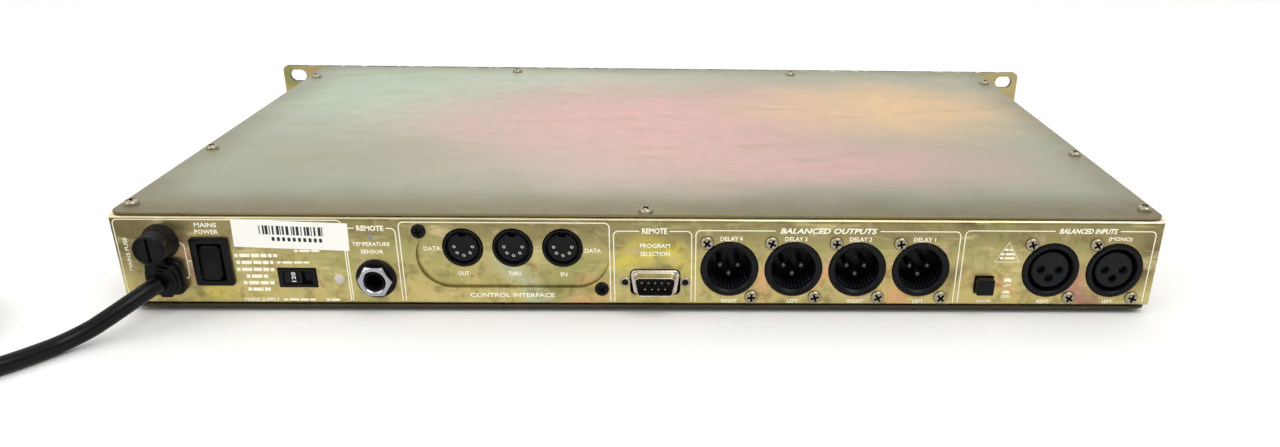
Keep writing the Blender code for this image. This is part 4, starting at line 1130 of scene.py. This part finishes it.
def make_gland():
    """The strain relief: a clamped collar with ribs, which narrows to the lead."""
    bm = bmesh.new()
    layers = []
    for out, across, radius in (
        (0.3, 14.4, 3.4), (0.8, 15.0, 3.6), (3.0, 15.0, 3.6), (3.4, 14.4, 3.6), (3.5, 13.0, 4.2),
        (4.1, 12.9, 4.4), (4.2, 13.8, 4.6), (5.2, 13.6, 4.8), (5.4, 12.0, 5.0), (6.0, 11.8, 5.2),
        (6.1, 12.2, 5.4), (7.0, 11.8, 5.4), (7.2, 10.2, 5.0), (8.2, 9.6, 4.7),
    ):
        layers.append((out, across, across, radius))
    add_stack(bm, GLAND_X, GLAND_Z, REAR, layers, 5)
    for side in (-1, 1):
        low = (GLAND_X - 2.2, REAR + 1.0, GLAND_Z + side * 7.0 - 0.7)
        high = (GLAND_X + 2.2, REAR + 5.0, GLAND_Z + side * 7.0 + 0.7)
        add_box(bm, low, high)
    stem = [(0, -8), (6.0, -8), (6.0, 0.5), (0, 0.5)]
    add_turned(bm, REAR, stem, (GLAND_X, GLAND_Z), 0, COARSE)
    gland = to_object("strain_relief", bm)
    piece(gland, [BLACK], nodes=["cord_gland"], edge=0.2, segments=2)


def make_rocker():
    """A dished paddle with round corners; its lower edge stands proud."""
    pivot = Vector((ROCKER.x, REAR - 1.0, ROCKER.z))
    tilt = radians(ROCKER_TILT)
    bm = bmesh.new()
    rings = []
    for depth, width, height, radius in (
        (-4.0, 8.0, 11.0, 1.5), (-0.5, 8.6, 14.4, 2.2), (3.0, 8.6, 14.4, 2.2), (3.6, 8.2, 14.0, 2.2),
        (3.9, 7.4, 13.2, 2.0),
    ):
        ring = []
        for x, z in rounded(0.15, -0.2, width, height, radius, 6):
            y = depth - 0.9 * (1 - (z / 7.3) ** 2) * (depth > 0)
            turned = (y * cos(tilt) - z * sin(tilt), y * sin(tilt) + z * cos(tilt))
            ring.append((pivot.x + x, pivot.y + turned[0], pivot.z + turned[1]))
        rings.append(ring)
    add_loft(bm, rings)
    bmesh.ops.triangulate(bm, faces=[face for face in bm.faces if len(face.verts) > 4])
    made = to_object("rocker_paddle", bm)
    piece(made, [BLACK], "power_rocker", ["power_rocker"])


def make_selector_digits():
    low, high = corners("voltage_slider")
    place = ((low.x + high.x) / 2 - 0.4, high.y + INK, (low.z + high.z) / 2)
    bm = bmesh.new()
    add_text(bm, "120", 1, place, 1.7, 4.4, turn=90)
    piece(to_object("selector_digits", bm), [FRONT_INK], "voltage_slider")


# ---- front ----


def make_front_panel():
    centre = (PANEL_LOW + PANEL_HIGH) / 2
    size = PANEL_HIGH - PANEL_LOW
    bm = bmesh.new()
    add_prism(bm, rounded(centre.x, centre.z, size.x, size.z, 3.5, 8), "Y", FRONT, PANEL_BACK)
    panel = to_object("front_plate", bm)
    low, high = FRONT - 1, PANEL_BACK + 1
    holes = bmesh.new()
    for side in (-1, 1):
        for up in (-1, 1):
            spot = (side * SLOT_SPAN / 2, centre.z + up * SLOT_PITCH / 2)
            add_prism(holes, stadium(*spot, SLOT_LENGTH, SLOT_WIDTH, 12), "Y", low, high)
    for names in [[name] for name in SINGLE_KEYS] + [CHANNEL_KEYS, MEMORY_KEYS]:
        first, last = corners(names[0])[0], corners(names[-1])[1]
        width, height = last.x - first.x + 2 * KEY_GAP, last.z - first.z + 2 * KEY_GAP
        spot = ((first.x + last.x) / 2, (first.z + last.z) / 2)
        add_prism(holes, rounded(*spot, width, height, 0.7), "Y", low, high)
    window_low, window_high = corners("display_window")
    spot = (window_low + window_high) / 2
    width = window_high.x - window_low.x + 2 * KEY_GAP
    height = window_high.z - window_low.z + 2 * KEY_GAP
    add_prism(holes, rounded(spot.x, spot.z, width, height, 0.8), "Y", low, high)
    add_prism(holes, polygon(LAMP.x, LAMP.z, LAMP_RADIUS + 0.3, COARSE), "Y", low, high)
    carved(panel, holes)
    shaft = bmesh.new()
    add_prism(shaft, polygon(KNOB_X, KNOB_Z, SHAFT_HOLE, COARSE), "Y", low, high)
    carved(panel, shaft)
    for face in panel.data.polygons:
        if face.normal.y > 0.9:
            face.material_index = 1
    piece(panel, [PANEL_PAINT, ZINC], nodes=["front_panel"], edge=0.3, segments=2)


def make_knob():
    """A light grey fluted knob, and a blue cap with a pointer."""
    low, high = corners("knob")
    face, base = low.y, high.y
    bm = bmesh.new()
    profile = [
        (0, face + 1.2), (10.0, face + 1.2), (10.0, face + 0.2), (10.3, face), (11.0, face),
        (11.5, face + 0.6), (12.0, base - 3.4), (12.1, base - 2.6), (12.7, base - 2.0),
        (13.0, base - 1.6), (13.0, base), (3.3, base), (3.3, face + 4), (0, face + 4),
    ]
    add_turned(bm, 0, profile, (KNOB_X, KNOB_Z), sides=96)
    for vert in bm.verts:
        if face + 0.5 < vert.co.y < base - 2.5:
            away = Vector((vert.co.x - KNOB_X, 0, vert.co.z - KNOB_Z))
            if away.length > 11:
                angle = Vector((away.x, away.z)).angle_signed(Vector((1, 0)))
                vert.co -= away.normalized() * 0.35 * (0.5 + 0.5 * cos(angle * 24))
    knob = to_object("knob_skirt", bm)
    piece(knob, [KNOB_GREY], "data_wheel", ["knob"])
    low, high = corners("knob_cap")
    bm = bmesh.new()
    profile = [
        (0, low.y + 0.25), (7.4, low.y + 0.12), (9.2, low.y), (9.6, low.y + 0.15),
        (9.7, low.y + 0.4), (9.7, high.y), (0, high.y),
    ]
    add_turned(bm, 0, profile, (KNOB_X, KNOB_Z))
    piece(to_object("knob_disc", bm), [CAP_BLUE], "data_wheel", ["knob_cap"])
    bm = bmesh.new()
    angle = radians(222)
    reach = [(KNOB_X + r * cos(angle), KNOB_Z + r * sin(angle)) for r in (3.4, 8.8)]
    add_ribbon(bm, reach, 1.3, low.y + 0.02, low.y + 0.3)
    piece(to_object("knob_pointer", bm), [FRONT_INK], "data_wheel")


def add_digit(bm, left, right, low, high, depth, bar=1.0):
    """The seven bars of one numeral place, slightly apart."""
    middle_z = (low + high) / 2
    gap = 0.25
    across = [(left + bar / 2, right - bar / 2, z) for z in (low, middle_z, high)]
    for a, b, z in across:
        add_ribbon(bm, [(a + gap, z), (b - gap, z)], bar, depth, depth + INK)
    for x in (left + bar / 2, right - bar / 2):
        for a, b in ((low, middle_z), (middle_z, high)):
            add_ribbon(bm, [(x, a + bar / 2 + gap), (x, b - bar / 2 - gap)], bar, depth, depth + INK)


def make_displays():
    """Unlit numerals, meter bars and dots behind the smoked strip."""
    face = corners("display_window")[0].y
    depth = face - INK
    bm = bmesh.new()
    for left in (52.4, 62.0, 72.0, 81.6):
        add_digit(bm, left, left + 7.4, 24.0, 31.6, depth)
    for x in (-162.1, -158.6, -155.5, -152.2, -149.1, -145.8, -142.5):
        for z in (30.1, 25.3):
            add_box(bm, (x - 1.1, depth, z - 0.7), (x + 1.1, face, z + 0.7))
    for x in (-16.5, 2.2, 14.4, 26.9, 39.8):
        for z in (29.5, 24.7):
            add_prism(bm, polygon(x, z, 0.9, COARSE), "Y", depth, face)
    piece(to_object("display_inlay", bm), [SEGMENT])


def make_front_legends():
    bm = bmesh.new()
    face = FRONT - INK

    def words(text, x, z, height=1.5, width=None, **more):
        add_text(bm, text, -1, (x, face, z), height, width, **more)

    keys = SINGLE_KEYS[:2] + CHANNEL_KEYS + MEMORY_KEYS + SINGLE_KEYS[2:]
    titles = ("LEVEL", "RELATIVE", "1", "2", "3", "4", "PROGRAM", "STORE", "RECALL", "UNITS", "IN / OUT")
    for node, text in zip(keys, titles):
        words(text, middle(node).x, 17.8)
    words("HEADROOM", -150.9, 17.6)
    for x, text in (
        (-162.1, "20"), (-158.6, "12"), (-155.5, "8"), (-152.2, "5"), (-149.1, "3"),
        (-145.8, "1"), (-142.5, "0"), (-138.4, "dB"),
    ):
        words(text, x, 36.2, 1.3)
    words("PUSH FOR COARSE", KNOB_X + 17.5, 36.2, 1.3)
    for x, text in ((7.3, "LEFT"), (32.8, "RIGHT")):
        words(text, x, 2.5, 1.3)
        for side in (-1, 1):
            near, far = x + side * 4.2, x + side * 11.0
            add_ribbon(bm, [(near, 2.5), (far, 2.5), (far, 4.2)], 0.3, face - INK, face + INK)
    words("VALUE", 115.0, 8.2, 1.3)
    words("TIME", 115.0, 5.8, 1.3)
    piece(to_object("front_legends", bm), [FRONT_INK])
    bm = bmesh.new()
    add_prism(bm, rounded(226.0, 26.0, 20.0, 9.0, 2.0), "Y", FRONT - 0.04, FRONT)
    piece(to_object("front_mark", bm), [GREEN_INK])
    make_label("front_label", -210.6, 9.9, 27.7, 8.2, -1, 0.0)


# ---- rear legends ----


def section(bm, left, right, top, gap=None, radius=2.0, width=0.42):
    """An outline that is round at its top corners and open at the bottom, with a gap for a title.

    Left and right are as seen from behind, so x runs the other way.
    """
    low, high = REAR, REAR + INK
    foot = SHELL_LOW.z + 1.6
    runs = []
    for end, inward in ((left, -1), (right, 1)):
        run = [(end, foot), (end, top - radius)]
        for step in range(1, 7):
            angle = step / 6 * pi / 2
            aside = inward * radius * (1 - cos(angle))
            run.append((end + aside, top - radius * (1 - sin(angle))))
        runs.append(run)
    if gap:
        centre, half = gap
        runs[0].append((centre + half, top))
        runs[1].append((centre - half, top))
        for run in runs:
            add_ribbon(bm, run, width, low, high)
    else:
        add_ribbon(bm, runs[0] + runs[1][::-1], width, low, high)


def text_bars(bm, lines, height):
    """Plain bars in place of small print: each is a row of short strokes."""
    for start, end, z in lines:
        x, count = start, 0
        while x - end > 0.6:
            length = min(1.5 + 0.9 * ((count * 7) % 4), x - end)
            add_ribbon(bm, [(x, z), (x - length, z)], height, REAR, REAR + INK)
            x -= length + 0.55
            count += 1


def make_rear_legends():
    bm = bmesh.new()
    face = REAR + INK

    def words(text, x, z, height=1.8, width=None, **more):
        add_text(bm, text, 1, (x, face, z), height, width, **more)

    section(bm, 213.2, 122.6, 40.8)
    section(bm, 121.7, 101.4, 37.5, (111.4, 6.4))
    section(bm, 99.9, 14.9, 40.2)
    section(bm, 13.2, -18.8, 36.8, (-3.5, 6.2))
    section(bm, -20.5, -129.8, 37.2, (-74.7, 21.6))
    section(bm, -131.8, -211.4, 37.7, (-182.6, 13.6))

    words("MAINS", 176.8, 38.4, 1.9, 8.8)
    words("POWER", 176.9, 35.5, 1.9, 9.4)
    words("MAINS FUSE", 209.7, 25.8, 1.6, 14.2, turn=90)
    words("MAINS SUPPLY", 159.4, 5.9, 1.5, 14.4)
    text_bars(bm, ((150.4, 136.8, 6.0), (132.9, 127.4, 6.0), (150.7, 137.2, 22.5), (143.0, 131.8, 27.6)), 0.9)
    warnings = (
        (167.5, 150.2, 25.5), (167.1, 152.2, 22.5), (167.4, 151.9, 19.4), (163.9, 155.2, 16.4),
        (165.6, 153.1, 13.5), (164.3, 155.1, 10.6),
    )
    text_bars(bm, warnings, 1.5)
    bracket = [
        (189.6, 14.8), (187.6, 15.6), (186.9, 17.0), (186.75, 29.2), (187.2, 30.2), (188.3, 30.9),
    ]
    add_ribbon(bm, bracket, 0.4, REAR, REAR + INK)
    add_ribbon(bm, [(186.8, 23.0), (185.0, 23.0)], 0.4, REAR, REAR + INK)

    words("REMOTE", 111.4, 37.4, 2.2, 10.8, weight=0.1)
    words("TEMPERATURE", 111.7, 30.6, 1.7, 15.2)
    words("SENSOR", 111.7, 27.3, 1.7, 9.2)

    words("CONTROL INTERFACE", 55.8, 8.2, 1.9, 35.0)

    words("REMOTE", -3.5, 36.8, 2.4, 10.3, weight=0.1)
    words("PROGRAM", -3.7, 30.4, 1.9, 12.3)
    words("SELECTION", -3.8, 26.8, 1.9, 12.2)

    words("BALANCED OUTPUTS", -74.7, 37.1, 2.3, 40.0, lean=0.25, weight=0.1)
    for i, name in enumerate(XLR_OUTPUTS):
        x = middle(name).x
        words(f"DELAY {i + 1}", x - 0.5, 33.6, 1.9, 9.2)
        words("LEFT" if i % 2 == 0 else "RIGHT", x - 0.2, 5.9, 1.6, (4.6, 6.6)[i % 2])

    words("BALANCED INPUTS", -182.6, 37.6, 2.2, 24.4, lean=0.25, weight=0.1)
    words("(MONO)", -196.8, 34.3, 1.7, 10.0)
    words("RIGHT", -168.3, 6.0, 1.5, 5.4)
    words("LEFT", -196.2, 6.1, 1.5, 4.3)
    words("GROUND", -142.9, 6.3, 1.2, 6.4)
    triangle = [(-150.5, 32.7), (-145.4, 24.0), (-155.7, 24.0)]
    add_ribbon(bm, triangle, 0.4, REAR, REAR + INK, closed=True)
    text_bars(bm, ((-149.0, -152.2, 29.4), (-147.6, -153.6, 27.5), (-147.4, -153.8, 25.7)), 0.9)
    for low_z, high_z in ((15.0, 16.6), (9.8, 11.0)):
        shape = [(-150.3, low_z), (-151.0, high_z), (-153.2, high_z), (-153.9, low_z)]
        add_prism(bm, shape, "Y", REAR, REAR + INK)
    words("LIFT", -152.2, 13.3, 1.3)
    words("GND", -152.1, 8.3, 1.3)
    piece(to_object("rear_legends", bm), [WHITE_INK])

    bm = bmesh.new()
    plate = corners("interface_plate")[1].y + INK
    for text, x, z, height, width in (
        ("OUT", 75.7, 17.0, 1.9, 4.6), ("THRU", 54.5, 17.0, 1.9, 5.3), ("IN", 34.2, 16.8, 1.9, 2.7),
        ("DATA", 87.8, 28.0, 1.9, 6.9), ("DATA", 22.0, 27.3, 1.9, 6.7),
    ):
        add_text(bm, text, 1, (x, plate, z), height, width)
    piece(to_object("interface_legends", bm), [WHITE_INK])


def make_label(name, x, z, width, height, side, turn):
    """A paper label with plain bars on it, which lies on a face of the unit."""
    surface = REAR if side > 0 else FRONT
    bm = bmesh.new()
    sheet = rounded(0, 0, width, height, 0.3, 2)
    low, high = sorted((surface, surface + side * 0.12))
    add_prism(bm, sheet, "Y", low, high)
    bar_low, bar_high = sorted((surface + side * 0.12, surface + side * 0.15))
    start, count = -width * 0.28, 0
    while start < width * 0.27:
        stroke = 0.4 + 0.35 * ((count * 5) % 3)
        end, top = start + stroke, height * 0.32
        outline = [(start, 0), (end, 0), (end, top), (start, top)]
        add_prism(bm, outline, "Y", bar_low, bar_high, 1)
        start += stroke + 0.3 + 0.22 * ((count * 3) % 4)
        count += 1
    for i in range(10):
        left = -width * 0.27 + i * 2.1
        add_prism(bm, rounded(left + 0.6, -height * 0.16, 1.2, 1.7, 0.3, 2), "Y", bar_low, bar_high, 1)
    turned = Matrix.Translation((x, 0, z)) @ Matrix.Rotation(radians(turn), 4, "Y")
    bmesh.ops.transform(bm, matrix=turned, verts=bm.verts)
    piece(to_object(name, bm), [PAPER, BLACK_INK])


def make_small_rear_parts():
    """The white plug in the sheet, and the grey dot above the jack."""
    bm = bmesh.new()
    button = [(0, 1.0), (1.2, 0.9), (2.0, 0.5), (2.25, 0), (2.25, -1), (0, -1)]
    add_turned(bm, REAR, button, (126.4, 15.2), 0, COARSE)
    piece(to_object("blanking_button", bm), [RIVET])
    bm = bmesh.new()
    dot = [(0, 0.3), (0.8, 0.25), (1.1, 0), (0, 0)]
    add_turned(bm, REAR, dot, (111.4, 33.4), 0, COARSE)
    piece(to_object("rivet", bm), [DULL_STEEL])


def dress_nodes():
    """Finishes for the CAD nodes that are shown as they are."""
    for name in SINGLE_KEYS + CHANNEL_KEYS + MEMORY_KEYS:
        dress(name, KEY_BLACK, 0.4)
    dress("ground_lift_button", BLACK, 0.5)
    dress("rocker_housing", BLACK, 0.3, 2)
    dress("voltage_selector_housing", BLACK, 0.15, 2)
    dress("voltage_slider", INSERT, 0.15, 2)
    # The bottom cover's dark finish is painted shade.
    for name, finish in (
        ("display_window", WINDOW), ("status_lamp", LENS), ("bottom_cover", BOTTOM_SHADE),
        ("encoder_shaft", DULL_STEEL), ("encoder_body", BLACK), ("ground_lift_switch", BLACK),
        ("main_board", BOARD), ("display_board", BOARD), ("transformer", IRON), ("fuse", GLASS),
    ):
        dress(name, finish)


def build():
    make_camera()
    make_studio()
    make_cord()
    make_rear_panel()
    make_side("left", -1)
    make_side("right", 1)
    make_cover()
    make_screws()
    for name in XLR_OUTPUTS:
        make_xlr_output(name)
    for name in XLR_INPUTS:
        make_xlr_input(name)
    make_interface_plate()
    for name in DIN_SOCKETS:
        make_din(name)
    make_dsub()
    make_jack()
    make_fuse()
    make_gland()
    make_rocker()
    make_selector_digits()
    make_small_rear_parts()
    make_label("rear_label", 143.5, 34.4, 46.2, 11.8, 1, -2.0)
    make_rear_legends()
    make_front_panel()
    make_knob()
    make_displays()
    make_front_legends()
    dress_nodes()


build()
